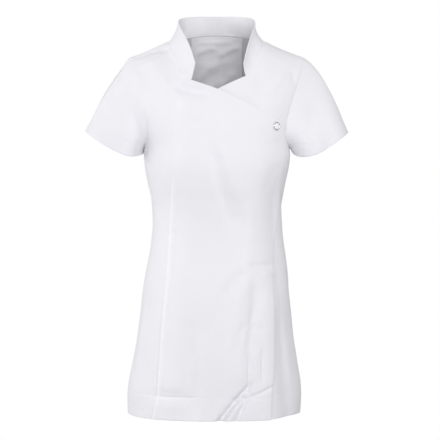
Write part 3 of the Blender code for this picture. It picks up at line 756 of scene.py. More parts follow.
def neck_half(sign, side):
    """Shares and levels up one half of the neck's seam, from the collar's end or the centre back to the crest."""
    if side == BACK:
        levels = place(NECK_BACK_X, neck_back_height(NECK_BACK_X), BACK)[1]
    else:
        levels = close_levels(COLLAR_END[sign], CREST)
    return sign * neck_edge(levels, side), levels


def shoulder_line(sign):
    """The shoulder seam, from the neck to the armhole."""
    level = np.array(SHOULDER_SEAM)
    shares = np.linspace(neck_edge(level, FRONT), arm_edge(level, FRONT), SHOULDER_STEPS)
    return bare_form(sign * shares, np.full(SHOULDER_STEPS, SHOULDER_SEAM), FRONT)


def both_halves(half, sign):
    """The points of a seam on the front, then those on the back."""
    return np.concatenate([bare_form(*half(sign, side), side) for side in (FRONT, BACK)])


SIGNS = {"right": -1, "left": 1}
up_the_side, up_the_front = close_levels(HEM, UNDERARM), close_levels(HEM, SHOULDER_SEAM)
LINES = {"princess": bare_form(PRINCESS(up_the_front), up_the_front, FRONT)}
for hand, sign in SIGNS.items():
    LINES["armhole_" + hand] = both_halves(armhole_half, sign)
    LINES["neck_" + hand] = both_halves(neck_half, sign)
    LINES["shoulder_" + hand] = shoulder_line(sign)
    LINES["side_" + hand] = bare_form(sign + 0 * up_the_side, up_the_side, FRONT)
print("points on each seam line:", {name: len(line) for name, line in LINES.items()})

# %% [markdown]
# ## White twill
#
# The cloth is a firm white polyester and cotton twill. Its fine diagonal ribs hardly show from a step away, but
# they break the light and give the cloth its dry, slightly silky look. The ribs come from a wave texture that
# follows the cloth's own flat map, in metres, so that they keep their size and run with the grain. A second, finer
# wave is the yarn that crosses them, and a noise makes some yarns thicker. The colour wanders by a few percent, as
# it does on washed cloth, and a little sheen brightens the rims. Along the ridge of a pressed seam the colour is
# painted paler, as a painted highlight: each point of the cloth carries a number, `pressed`, that says how much.

# %% Parts of a cloth finish
WAVE_BANDS = 2 * math.pi / 20  # a wave texture of scale 1 repeats after this length


def ribs(tree, flat_map, angle, pitch):
    """A height that waves across the cloth every `pitch` metres, turned by an angle."""
    turn = node(tree, "Mapping", Rotation=(0, 0, math.radians(angle)))
    wave = node(tree, "TexWave", Scale=WAVE_BANDS / pitch, Distortion=1.2, Detail=1.0)
    tree.links.new(flat_map, turn.inputs["Vector"])
    tree.links.new(turn.outputs["Vector"], wave.inputs["Vector"])
    return wave.outputs["Fac"]


def noise(tree, where, **values):
    """A noise from 0 to 1, laid out on a map of the cloth or of the object."""
    made = node(tree, "TexNoise", **values)
    tree.links.new(where, made.inputs["Vector"])
    return made.outputs["Fac"]


def mottled(tree, spread, dark, light, low=0.0, high=1.0):
    """A colour that goes from dark to light while a noise goes from low to high."""
    ramp = node(tree, "ValToRGB")
    for stop, position, colour in zip(ramp.color_ramp.elements, (low, high), (dark, light)):
        stop.position, stop.color = position, (*colour, 1)
    tree.links.new(spread, ramp.inputs["Fac"])
    return ramp.outputs["Color"]


def raise_by(tree, height, distance, strength, below=None):
    """A relief of some depth in metres, on top of the relief `below`."""
    bump = node(tree, "Bump", Strength=strength, Distance=distance)
    tree.links.new(height, bump.inputs["Height"])
    if below:
        tree.links.new(below, bump.inputs["Normal"])
    return bump.outputs["Normal"]


print("a wave texture of scale 1 repeats after, in metres:", round(WAVE_BANDS, 3))

# %% [markdown]
# ## Right side, wrong side with painted shade, and thread
#
# The wrong side of a twill is a little duller and greyer, and the inside of the body is painted much darker than
# that: painted shade for the dim inside of the hollow body. The facing is painted a little greyer than the outside,
# as painted shade inside the neck, and the inside of the collar, which a stiffener backs, is painted the whitest,
# as painted light on its shaded inner face. The seams are sewn with white polyester thread of two twisted plies,
# which shines a little more than the cloth.

# %% Cloth finish
RIB_PITCH = 0.0011
YARN_PITCH = 0.0006
RIB_ANGLE = 58.0
PLY_PITCH, PLY_ANGLE = 0.0004, 35.0
# The paler white that the painted highlight along a pressed seam's ridge is mixed towards.
PAINTED_HIGHLIGHT_WHITE = (0.95, 0.945, 0.965, 1)


def twill(name, dark, light):
    """Ribbed cloth whose colour wanders between two, with a painted highlight along a pressed seam's ridge."""
    made, tree, shader = new_finish(
        name, Roughness=0.82, Specular_IOR_Level=0.3, Sheen_Weight=0.22, Sheen_Roughness=0.6
    )
    flat_map = node(tree, "UVMap").outputs["UV"]
    object_map = node(tree, "TexCoord").outputs["Object"]

    cloudy = noise(tree, object_map, Scale=9.0, Detail=3.0, Roughness=0.6)
    # Painted highlight: the colour is mixed towards a paler white as far as the `pressed` attribute says.
    paler = node(tree, "Mix", data_type="RGBA")
    paler.inputs["B"].default_value = PAINTED_HIGHLIGHT_WHITE
    tree.links.new(node(tree, "Attribute", attribute_name="pressed").outputs["Fac"], paler.inputs["Factor"])
    tree.links.new(mottled(tree, cloudy, dark, light, 0.3, 0.7), paler.inputs["A"])
    tree.links.new(paler.outputs["Result"], shader.inputs["Base Color"])

    slubs = noise(tree, flat_map, Scale=700.0, Detail=2.0)
    crumple = noise(tree, object_map, Scale=38.0, Detail=4.0, Roughness=0.55)
    yarns, rib = ribs(tree, flat_map, RIB_ANGLE - 90, YARN_PITCH), ribs(tree, flat_map, RIB_ANGLE, RIB_PITCH)
    relief = raise_by(tree, crumple, distance=0.0011, strength=0.35)
    relief = raise_by(tree, yarns, distance=0.00005, strength=0.5, below=relief)
    relief = raise_by(tree, rib, distance=0.00009, strength=0.6, below=relief)
    relief = raise_by(tree, slubs, distance=0.00008, strength=0.4, below=relief)
    tree.links.new(relief, shader.inputs["Normal"])
    return made


def thread_finish(name, colour):
    """Sewing thread: two plies twisted together, a little glossier than the cloth."""
    made, tree, shader = new_finish(name, Base_Color=(*colour, 1), Roughness=0.55)
    plies = ribs(tree, node(tree, "TexCoord").outputs["Object"], PLY_ANGLE, PLY_PITCH)
    tree.links.new(raise_by(tree, plies, distance=0.00005, strength=0.6), shader.inputs["Normal"])
    return made


WHITE_TWILL = twill("white_twill", (0.850, 0.840, 0.875), (0.875, 0.865, 0.900))
# Painted shade: the inner faces are painted much darker than the wrong side of a twill is.
TWILL_INSIDE_PAINTED_SHADE = twill("twill_wrong_side_painted_shade", (0.61, 0.60, 0.63), (0.65, 0.64, 0.67))
# Painted shade: the facing is painted greyer than the outside, for the shade inside the neck.
TWILL_FACING_PAINTED_SHADE = twill("twill_facing_painted_shade", (0.785, 0.775, 0.810), (0.815, 0.805, 0.840))
# Painted light: the collar's inside is painted whiter than its outside, to lift its shaded inner face.
TWILL_COLLAR_INSIDE_PAINTED_LIGHT = twill("twill_collar_inside_painted_light", (0.915, 0.905, 0.935), (0.935, 0.925, 0.955))
WHITE_THREAD = thread_finish("white_thread", (0.870, 0.862, 0.900))
print("ribs a centimetre:", round(0.01 / RIB_PITCH, 1))

# %% [markdown]
# ## Grids of cloth
#
# Each piece starts as one or more grids of points in the middle of the cloth. A grid also knows which way its
# points face, where they lie on the flat piece, and how much deeper the inner face lies, as it does where a hem is
# turned up inside. Grids that share a column of points are joined there.

# %% Grids of cloth
def unit(ways):
    """Directions of length 1."""
    return ways / np.maximum(np.linalg.norm(ways, axis=-1, keepdims=True), 1e-12)


def facing_way(grid, like, closed=False):
    """The direction straight out of a grid of points, on the same side as `like`."""
    if closed:
        grid = np.concatenate([grid[:, -2:-1], grid, grid[:, 1:2]], axis=1)
        inner = slice(1, -1)
    else:
        inner = slice(None)
    way = np.cross(np.gradient(grid, axis=1), np.gradient(grid, axis=0))[:, inner]
    size = np.linalg.norm(way, axis=-1, keepdims=True)
    way = np.where(size > 1e-12, way / np.maximum(size, 1e-12), like)
    return way * np.where(np.sum(way * like, axis=-1, keepdims=True) < 0, -1, 1)


def grid_of_cloth(middle, out, flat_map, inner=0.0, pressed=0.0, stitched=(), closed=False):
    """One grid: its middle, which way it faces, its flat map, how far the inner face lies deeper, and its rows."""
    every = np.zeros(middle.shape[:2])
    return {
        "middle": middle,
        "out": facing_way(middle, np.broadcast_to(out, middle.shape), closed),
        "inner": every + inner,
        # `pressed` is a painted highlight: how much paler the outer face is painted along a pressed seam's ridge.
        "pressed": every + pressed,
        "map": flat_map,
        "stitched": stitched,
    }


def cells_of(grid, out, start):
    """The four corners of each cell of a grid, numbered from `start` and running round as seen from outside."""
    rows, columns = grid.shape[:2]
    index = np.arange(rows * columns).reshape(rows, columns)
    cells = np.stack([index[:-1, :-1], index[:-1, 1:], index[1:, 1:], index[1:, :-1]], axis=-1).reshape(-1, 4)
    points = grid.reshape(-1, 3)
    turn = np.cross(points[cells[:, 1]] - points[cells[:, 0]], points[cells[:, 3]] - points[cells[:, 0]])
    flipped = np.sum(turn * out.reshape(-1, 3)[cells[:, 0]]) < 0
    return start + (cells[:, ::-1] if flipped else cells)


def joined_cells(sheets, number):
    """The cells of all the grids, less the sides and the cells that have no size. `number` is a corner's point."""
    starts = np.cumsum([0] + [sheet["inner"].size for sheet in sheets])
    cells = np.concatenate([cells_of(s["middle"], s["out"], start) for s, start in zip(sheets, starts)])
    faces = []
    for cell in cells.tolist():
        face = [c for c, before in zip(cell, cell[-1:] + cell[:-1]) if number[c] != number[before]]
        if len(face) > 2:
            faces.append(face)
    # Where rows run together, as under the arm, two cells can have the same corners. Such a pair goes.
    spots = [tuple(sorted(number[c] for c in face)) for face in faces]
    uses = Counter(spots)
    return [face for face, spot in zip(faces, spots) if uses[spot] == 1]


print("cells in a grid of 3 by 4 points:", len(cells_of(np.zeros((3, 4, 3)), np.zeros((3, 4, 3)), 0)))

# %% [markdown]
# ## A wall of cloth with rounded edges
#
# A Solidify modifier could thicken the grids, but its edges would be cut square, and a garment's edges are folded
# and round. So the wall is built here: the grid is moved out for the outer face and in for the inner one, and every
# free edge gets a half-round rim between them.

# %% The wall
WALL = 0.0012
RIM_STEPS = 3


def free_sides(faces, number):
    """The sides that no other cell shares, which are the edges of the cloth."""
    sides = {}
    for face in faces:
        for a, b in zip(face, face[1:] + face[:1]):
            sides[number[a], number[b]] = (a, b)
    return [corners for (a, b), corners in sides.items() if (b, a) not in sides]


def half_round(free, number, middle, out, outer_face, inner_face):
    """The points along the edges of the cloth, and for each step of the half-round rim where they go."""
    away = np.zeros_like(middle)
    for a, b in free:
        step = np.cross(middle[number[b]] - middle[number[a]], out[number[a]])
        away[number[a]] += step
        away[number[b]] += step
    rim = sorted({number[c] for corners in free for c in corners})
    centre, half = (outer_face[rim] + inner_face[rim]) / 2, (outer_face[rim] - inner_face[rim]) / 2
    reach = unit(away[rim]) * np.linalg.norm(half, axis=1, keepdims=True)
    angles = [math.pi * k / (RIM_STEPS + 1) for k in range(1, RIM_STEPS + 1)]
    return rim, [centre + half * math.cos(angle) + reach * math.sin(angle) for angle in angles]


def shell(name, sheets, finishes, wall):
    """A wall of cloth round one or more grids of middle points, with an outer and an inner finish."""
    middle, out, inner, pressed, flat_map = (
        np.concatenate([np.reshape(sheet[key], (-1, size)) for sheet in sheets])
        for key, size in (("middle", 3), ("out", 3), ("inner", 1), ("pressed", 1), ("map", 2))
    )
    _, first, number = np.unique(np.round(middle, 6), axis=0, return_index=True, return_inverse=True)
    number = number.reshape(-1)
    faces = joined_cells(sheets, number)
    free = free_sides(faces, number)
    middle, out, inner, pressed = middle[first], out[first], inner[first], pressed[first, 0]
    outer_face, inner_face = middle + out * wall / 2, middle - out * (wall / 2 + inner)
    rim, rounds = half_round(free, number, middle, out, outer_face, inner_face)

    count = len(middle)
    made = [[number[c] for c in face] for face in faces]
    made += [[number[c] + count for c in reversed(face)] for face in faces]
    corners = [c for face in faces for c in face] + [c for face in faces for c in reversed(face)]
    place_on_rim = {point: i for i, point in enumerate(rim)}
    for a, b in free:
        steps = [[2 * count + k * len(rim) + place_on_rim[number[c]] for k in range(RIM_STEPS)] for c in (a, b)]
        near, far = ([number[c], *step, number[c] + count] for c, step in zip((a, b), steps))
        for k in range(RIM_STEPS + 1):
            made.append([far[k], near[k], near[k + 1], far[k + 1]])
            corners += [b, a, a, b]
    mesh = bpy.data.meshes.new(name)
    mesh.from_pydata(np.concatenate([outer_face, inner_face, *rounds]), [], made)
    mesh.uv_layers.new(name="flat_map").uv.foreach_set("vector", flat_map[corners].ravel())
    # The painted highlight of `pressed` goes on the outer face and the rims, and none on the inner face.
    painted_highlights = np.concatenate([pressed, 0 * pressed, np.tile(pressed[rim], RIM_STEPS)])
    mesh.attributes.new("pressed", "FLOAT", "POINT").data.foreach_set("value", painted_highlights)
    mesh.shade_smooth()
    for finish in finishes:
        mesh.materials.append(finish)
    inside = np.zeros(len(made), int)
    inside[len(faces) : 2 * len(faces)] = len(finishes) - 1
    mesh.polygons.foreach_set("material_index", inside)
    return put_in_scene(name, mesh)


print("thickness of the body's cloth in mm:", 1000 * WALL)

# %% [markdown]
# ## Stitches, and a piece ready to wear
#
# A line of machine stitches is a row of short pieces of thread that dive into the cloth at both ends. A bump could
# show them, but each stitch is a small six-sided rod here, so that it catches the light and throws a shadow. Last,
# the piece of the CAD model that each piece of cloth stands for is hidden.

# %% Stitches and sewn pieces
THREAD = 0.00018
THREAD_SIDES = 6
STITCH, STITCH_PITCH = 0.0022, 0.0031
STITCH_RINGS = (  # part of the stitch's length, thickness and height, both in threads
    (0.0, 0.35, -1.2),
    (0.22, 1.0, 0.5),
    (0.78, 1.0, 0.5),
    (1.0, 0.35, -1.2),
)


def stitches(name, line, out):
    """A row of stitches that lie on the cloth along a line of close points."""
    far = far_along(line)
    points, faces = [], []
    angle = 2 * math.pi * np.arange(THREAD_SIDES)[:, None] / THREAD_SIDES
    for start in np.arange(STITCH_PITCH / 2, far[-1] - STITCH, STITCH_PITCH):
        base = len(points)
        for part, size, height in STITCH_RINGS:
            at = start + part * STITCH
            spot, up = read_at(at, far, line), read_at(at, far, out)
            aside = unit(np.cross(unit(read_at(at + NUDGE, far, line) - spot), up))
            round_it = np.cos(angle) * aside + np.sin(angle) * up
            points += list(spot + up * (THREAD * height) + THREAD * size * round_it)
        for ring in range(base, len(points) - THREAD_SIDES, THREAD_SIDES):
            for k in range(THREAD_SIDES):
                here, there = ring + k, ring + (k + 1) % THREAD_SIDES
                faces.append([here, there, there + THREAD_SIDES, here + THREAD_SIDES])
        faces.append([base + k for k in reversed(range(THREAD_SIDES))])
        faces.append([len(points) - THREAD_SIDES + k for k in range(THREAD_SIDES)])
    mesh = bpy.data.meshes.new(name)
    mesh.from_pydata(points, [], faces)
    mesh.shade_smooth()
    mesh.materials.append(WHITE_THREAD)
    thread = put_in_scene(name, mesh)
    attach(thread, "root")
    return thread


def sewn_piece(name, cad_node, sheets, wall=WALL, finishes=(WHITE_TWILL, TWILL_INSIDE_PAINTED_SHADE)):
    """A piece of cloth that stands for a CAD node, with its rows of stitches; the CAD node is hidden."""
    piece = shell(name, sheets, finishes, wall)
    rows = [(s["middle"][r] + s["out"][r] * wall / 2, s["out"][r]) for s in sheets for r in s["stitched"]]
    threads = [stitches(f"{name}_stitches_{i}", *row) for i, row in enumerate(rows)]
    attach(piece, "root")
    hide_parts(cad_node)


print("stitches to 10 cm:", round(0.1 / STITCH_PITCH))


# %% [markdown]
# ## Rows and columns of a body panel
#
# A panel's rows of points run across it at chosen levels, and lie closer where its edge turns or the hem is
# puckered. Its columns crowd together at both edges, so that the rims stay crisp. Even rows everywhere would need
# far more points for the same edges. The flat map is measured along the form, like a pattern laid round a body.

# %% Rows and columns
ROW = 0.0036
FINE_ROW, FINE_BELOW = 0.0020, -0.700
MAP_STEPS = 48
PINCH = 0.65
NEAR_EDGE = 0.0018  # one more column lies this close to each edge, as a part of the width, to keep the rim crisp
NEAR_END = 0.0006  # and one more row this close to the shoulder seam


def pinched(count):
    """Numbers from 0 to 1 that lie closer together near both ends."""
    t = np.linspace(0, 1, count + 1)
    t = t - PINCH * np.sin(2 * math.pi * t) / (2 * math.pi)
    return np.sort(np.append(t, [NEAR_EDGE, 1 - NEAR_EDGE]))


def rows_through(*keys):
    """Levels through the keys, with even rows between them, which lie closer where the hem is puckered."""
    levels = [keys[0]]
    for low, high in zip(keys, keys[1:]):
        row = ROW if high > FINE_BELOW else FINE_ROW
        levels += list(np.linspace(low, high, max(1, round((high - low) / row)) + 1)[1:])
    return np.array(levels)


def cloth_map(share, level, side):
    """Where the points lie on the flat cloth, in metres: across from the centre, and up."""
    steps = np.linspace(0, 1, MAP_STEPS)
    lines = bare_form(steps[None, :], level[:, :1], side)
    far = far_along(lines, axis=1)
    across = [np.interp(np.abs(row), steps, measure) for row, measure in zip(share, far)] * np.sign(share)
    up = far_along(lines[:, MAP_STEPS // 2])[:, None] + 0 * share
    return np.stack([across, up], axis=-1)


print("columns for ten steps:", len(pinched(10)))

# %% [markdown]
# ## How a body panel lies
#
# Every panel of the body is laid on the form in the same way: it follows the form, is pushed in and out by the
# folds and by its seams, and at the bottom it has a hem. The hem is turned up inside, so the cloth is double
# there. Its line of stitches draws the cloth in, and below the line the hem kicks out a little.

# %% Body panels
HEM_LINE = HEM + HEM_DEPTH
HEM_CLOSE_ROWS = HEM_LINE + 0.001 * np.array([-4, -2.4, -1.2, 0, 1.2, 2.4, 4])
HEM_GROOVE, HEM_GROOVE_WIDTH = 0.00012, 0.0014
HEM_FLARE, HEM_STEP, HEM_FOLD = 0.0022, 0.0002, 0.0009
HEM_STEP_WITHIN, HEM_FOLD_WITHIN = 0.002, 0.0015


def hem_push(level):
    """How far the hem stands out: a groove at its stitches, a small step, and a flare below them."""
    groove = HEM_GROOVE * hump(level - HEM_LINE, HEM_GROOVE_WIDTH)
    below = np.clip((HEM_LINE - level) / HEM_DEPTH, 0, 1)
    return HEM_FLARE * below + HEM_STEP * ease((HEM_LINE - level) / HEM_STEP_WITHIN) - groove


def lie(share, level, side, seams, lift=0.0):
    """The middle of the cloth where it lies on the body. `seams` has each seam's values for seam_shape."""
    points, out = bare_form(share, level, side), outward(share, level, side)
    push = broad_folds(points) + creases(points, out) + drift(points) + hem_push(level) + lift
    push = push + puckers(points, level - HEM_LINE)
    for line, profile in seams.items():
        profile = profile(level) if callable(profile) else profile
        push = push + seam_shape(points, away_from(points, LINES[line]), *profile)
    return points + out * push[..., None], out


def body_sheet(share, level, side, seams, lift=0.0, pressed=0.0):
    """One grid of body cloth, with its hem and the hem's row of stitches."""
    middle, out = lie(share, level, side, seams, lift)
    hem_fold = HEM_FOLD * ease((HEM_LINE - level) / HEM_FOLD_WITHIN)
    stitched = [int(np.argmin(np.abs(level[:, 0] - HEM_LINE)))]
    # `pressed` carries the painted highlight of a pressed seam's ridge into the grid.
    return grid_of_cloth(middle, out, cloth_map(share, level, side), hem_fold, pressed, stitched)


def between(start, end, columns, levels):
    """Shares and levels of a grid between two edges."""
    low, high = start(levels)[:, None], end(levels)[:, None]
    share = low + (high - low) * pinched(columns)
    return share, np.broadcast_to(levels[:, None], share.shape)


FRONT_ROWS = rows_through(
    *(HEM, *HEM_CLOSE_ROWS, FINE_BELOW, *turned_levels(ARMHOLE_ROWS)),
    *(HIDDEN_CORNER, POINT_OF_NECK, COLLAR_END[-1], COLLAR_END[1]),
    *(SHOULDER_SEAM - SHOULDER_GAP / 2 - NEAR_END, SHOULDER_SEAM - SHOULDER_GAP / 2),
)
print("rows of points up the front:", len(FRONT_ROWS))

# %% [markdown]
# ## The side front
#
# The wearer's right front is cut in two, and this is the narrow outer part. It reaches from the side seam and the
# armhole to the princess seam, which shapes the bust and the waist.

# %% Side front
SIDE_COLUMNS = 26
RIDGE_FROM, RIDGE_WITHIN = -0.275, 0.05
GROOVE_FROM, GROOVE_WITHIN = -0.48, 0.09
PRINCESS_RIDGE, RIDGE_AT = 0.0011, 0.0018
PRINCESS_DIP = 0.0001
PRESSED_TO_SIDE, GROOVE_TO_SIDE = 0.0001, 0.0024
PRESSED_TO_FRONT, GROOVE_TO_FRONT = 0.0005, 0.0006


def right_arm_edge(level):
    return -arm_edge(level, FRONT)


def princess_edge(sign):
    return lambda level: PRINCESS(level) + sign * seam_share(level)


def plain_seams(*names):
    return {name: (ALLOWANCE_HEIGHT, SEAM_DIP) for name in names}


def princess_ridge(level):
    """How much of the princess seam's ridge there is, from 0 above the waist to 1 below it."""
    return ease((RIDGE_FROM - level) / RIDGE_WITHIN)


def princess_seam(pressed, groove, sign):
    """Hardly there at the bust, a ridge from the waist down, and a groove beside it in the skirt."""
    def profile(level):
        ridge = princess_ridge(level)
        dip = PRINCESS_DIP + groove * ease((GROOVE_FROM - level) / GROOVE_WITHIN)
        return pressed * ridge, dip, PRINCESS_RIDGE * ridge, sign * RIDGE_AT

    return {"princess": profile}


SIDE_SEAMS = plain_seams("armhole_right", "side_right", "shoulder_right")
SIDE_SEAMS |= princess_seam(PRESSED_TO_SIDE, GROOVE_TO_SIDE, -1)
side_grid = between(right_arm_edge, princess_edge(-1), SIDE_COLUMNS, FRONT_ROWS)
side_sheet = body_sheet(*side_grid, FRONT, SIDE_SEAMS)
sewn_piece("side_front_cloth", "side_front", [side_sheet])

# %% [markdown]
# ## The wrap front
#
# The large front panel crosses to the wearer's left and closes there. It lies on the under front, so it is lifted
# clear of it, and comes down to the form at the princess seam and at the collar. Its allowances are pressed
# towards it at the princess seam, which raises the fine ridge beside that seam, and a painted highlight makes
# that ridge bright. Nothing holds its long edge below the stud, so the edge stands off a little more and more
# towards the hem.

# %% Wrap front
WRAP_COLUMNS = 132
LAP_GAP = 0.0004
LAP_SHARE = -0.24
STAND_TOP, STAND_AT_TOP, STAND_RUNS_OUT = -0.34, 0.0010, 0.10
STAND_WIDTH = 0.060
EDGE_STAND = table(
    "level off",
    (HEM, 0.0055),
    (-0.70, 0.0060),
    (-0.58, 0.0050),
    (-0.46, 0.0030),
    (STAND_TOP, STAND_AT_TOP),
)
# Where the painted highlight lies beside the princess seam, how wide it is and how strong.
HIGHLIGHT_AT, HIGHLIGHT_WIDTH, HIGHLIGHT_STRENGTH = 0.0030, 0.0046, 0.72
closing_levels = close_levels(HEM, ARM_TURN)
LINES["closing"] = bare_form(CLOSING(closing_levels), closing_levels, FRONT)


def lap_lift(share, level):
    """How far the wrap lies off the form."""
    seam = PRINCESS(level)
    across = ease((share - seam) / (LAP_SHARE - seam))
    down = ease((COLLAR_END[-1] - level) / (COLLAR_END[-1] - POINT_OF_NECK))
    return (WALL + LAP_GAP) * across * down


def edge_stand(share, level):
    """How much further the closing edge stands off."""
    far = away_from(bare_form(share, level, FRONT), LINES["closing"])
    off = smooth(np.clip(level, HEM, STAND_TOP), EDGE_STAND["level"], EDGE_STAND["off"])
    runs_out = STAND_AT_TOP * ease((ARM_TURN - level) / STAND_RUNS_OUT)
    return np.where(level > STAND_TOP, runs_out, off) * ease(1 - far / STAND_WIDTH)


def painted_ridge_highlight(share, level):
    """A painted highlight: the pale line painted along the princess seam's ridge."""
    far = away_from(bare_form(share, level, FRONT), LINES["princess"])
    return HIGHLIGHT_STRENGTH * princess_ridge(level) * hump(far - HIGHLIGHT_AT, HIGHLIGHT_WIDTH)


WRAP_SEAMS = plain_seams("shoulder_right", "neck_right")
WRAP_SEAMS |= princess_seam(PRESSED_TO_FRONT, GROOVE_TO_FRONT, 1)
wrap_grid = between(princess_edge(1), wrap_edge, WRAP_COLUMNS, FRONT_ROWS)
wrap_lift = lap_lift(*wrap_grid) + edge_stand(*wrap_grid)
wrap_sheet = body_sheet(*wrap_grid, FRONT, WRAP_SEAMS, wrap_lift, painted_ridge_highlight(*wrap_grid))
sewn_piece("front_wrap_cloth", "front_wrap", [wrap_sheet])

# %% [markdown]
# ## The under front
#
# The wearer's left front lies under the wrap. It shows above the wrap's slanting edge, where its own edge crosses
# at the point of the neck, and again beside the closing edge, down to the hem. The wrap presses it in a little
# along that slanting edge, and beside the closing edge it falls away towards the side.

# %% Under front
UNDER_COLUMNS = 72
UNDER_CREASES = table(
    "side a0 z0 a1 z1 bend width height",
    (FRONT, -0.040, -0.086, 0.110, -0.150, 0.000, 0.013, -0.0034),
    (FRONT, 0.156, -0.540, 0.170, -0.860, 0.000, 0.012, 0.0016),
)


def left_arm_edge(level):
    return arm_edge(level, FRONT)


UNDER_SEAMS = plain_seams("armhole_left", "side_left", "shoulder_left", "neck_left")
under_grid = between(under_edge, left_arm_edge, UNDER_COLUMNS, FRONT_ROWS)
under_lift = creases(bare_form(*under_grid, FRONT), outward(*under_grid, FRONT), UNDER_CREASES)
under_sheet = body_sheet(*under_grid, FRONT, UNDER_SEAMS, under_lift)
sewn_piece("front_under_cloth", "front_under", [under_sheet])

# %% [markdown]
# ## The back
#
# The back is one piece from side seam to side seam. It runs over the shoulders and ends a little in front of
# them. Two long darts take in the waist: each is a fold sewn shut on the inside, so that only a fine line shows,
# widest at the waist and running out to nothing above and below.

# %% Back
BACK_COLUMNS = 66
BACK_NECK_ROWS, BACK_NECK_ROWS_END = 15, 0.94  # they stop at this part of the neck's half width
DART_X, DART_TOP, DART_BOTTOM = 0.078, -0.262, -0.520
DART_PRESSED, DART_DIP = 0.0003, 0.0008
dart_levels = close_levels(DART_BOTTOM, DART_TOP)
for hand, sign in SIGNS.items():
    dart_share = place(np.full(len(dart_levels), sign * DART_X), dart_levels, BACK)[0]
    LINES["dart_" + hand] = bare_form(dart_share, dart_levels, BACK)
neck_x = NECK_HALF_WIDTH * np.linspace(0, BACK_NECK_ROWS_END, BACK_NECK_ROWS)
neck_levels = place(neck_x, neck_back_height(neck_x), BACK)[1]
BACK_ROWS = rows_through(
    *(HEM, *HEM_CLOSE_ROWS, *turned_levels(ARMHOLE_ROWS), *neck_levels, CREST),
    *(CREST + SEAM_FORWARD - SHOULDER_GAP / 2 - NEAR_END, CREST + SEAM_FORWARD - SHOULDER_GAP / 2),
)


def back_seams(hand):
    seams = plain_seams(*(f"{name}_{hand}" for name in ("armhole", "side", "shoulder", "neck")))
    return seams | {"dart_" + hand: (DART_PRESSED, DART_DIP)}


back_sheets = []
for hand, sign in SIGNS.items():
    edges = [lambda level, at=at, sign=sign: sign * at(level, BACK) for at in (neck_edge, arm_edge)]
    back_sheets.append(body_sheet(*between(*edges, BACK_COLUMNS, BACK_ROWS), BACK, back_seams(hand)))
sewn_piece("back_cloth", "back", back_sheets)

# %% [markdown]
# ## The sleeves
#
# Each sleeve is a short tube with a shaped top. It leaves the armhole along the line of the shoulder and falls to
# its cuff, longest over the shoulder and shortest under the arm. The two cuffs are measured apart, because the
# tunic hangs a little turned, and each sleeve has creases of its own below the shoulder and towards the underarm.

# %% Sleeve tables
CUFFS = table(  # `inward` moves the lowest part of the cuff towards the body
    "side x y z slant across deep dip inward",
    (-1, -0.2140, 0.004, -0.2100, 21.5, 0.0635, 0.0590, 0.0150, 0.55),
    (1, 0.2170, 0.004, -0.2095, 19.5, 0.0600, 0.0620, 0.0188, 0.65),
)
SLEEVE_LIFT = table(  # degrees out of the body's surface, from the crest (turn 0) to the underarm (1)
    "turn right left",
    (0.0, -32, -12),
    (0.25, 0, 10),
    (0.5, 32, 32),
    (0.8, 48, 48),
    (1.0, 60, 60),
)
SLEEVE_CREASES = table(
    "side a0 z0 a1 z1 bend width height",
    (FRONT, -0.148, -0.080, -0.150, -0.330, 0.000, 0.022, -0.0085),
    (FRONT, -0.190, -0.110, -0.196, -0.320, 0.000, 0.016, 0.0030),
    (FRONT, -0.200, -0.036, -0.196, -0.090, 0.000, 0.007, -0.0024),
    (FRONT, -0.190, -0.070, -0.206, -0.150, 0.003, 0.012, 0.0016),
    (FRONT, -0.232, -0.100, -0.262, -0.170, -0.003, 0.014, 0.0010),
    (FRONT, 0.206, -0.100, 0.214, -0.320, 0.000, 0.025, -0.0105),
    (FRONT, 0.176, -0.046, 0.180, -0.084, 0.000, 0.005, -0.0022),
    (BACK, -0.180, -0.100, -0.196, -0.190, 0.004, 0.010, -0.0026),
    (BACK, -0.205, -0.090, -0.232, -0.190, 0.003, 0.014, 0.0016),
    (BACK, 0.182, -0.104, 0.200, -0.192, -0.004, 0.010, -0.0024),
    (BACK, 0.210, -0.080, 0.240, -0.180, -0.003, 0.014, 0.0018),
)
print("creases on the sleeves:", len(SLEEVE_CREASES["side"]))

# %% [markdown]
# ## From armhole to cuff
#
# Every column of a sleeve is one smooth curve. It leaves the armhole's seam at the angle that the table gives, and
# reaches the cuff straight along the sleeve. Such a curve needs only its two ends and how long it keeps its way
# there, so the sleeve's top rounds over the shoulder by itself.

# %% Curves of a sleeve
SLEEVE_COLUMNS, CURVE_STEPS = 148, 120
SLEEVE_LEAVE, SLEEVE_ARRIVE = 0.30, 0.14  # how long it keeps its way at either end, as a part of its length


def evenly(line, count, *others):
    """The line's points spaced evenly along it, and the other lines read at the same places."""
    far = far_along(line)
    at = np.linspace(0, far[-1], count + 1)
    return [read_at(at, far, one) for one in (line, *others)]


def seam_round(half, sign, seams):
    """Both halves of an armhole or neck seam as one line, up the front and down the back, with its ways out."""
    front, front_out = lie(*half(sign, FRONT), FRONT, seams)
    back, back_out = lie(*half(sign, BACK), BACK, seams)
    return np.concatenate([front, back[-2::-1]]), np.concatenate([front_out, back_out[-2::-1]])


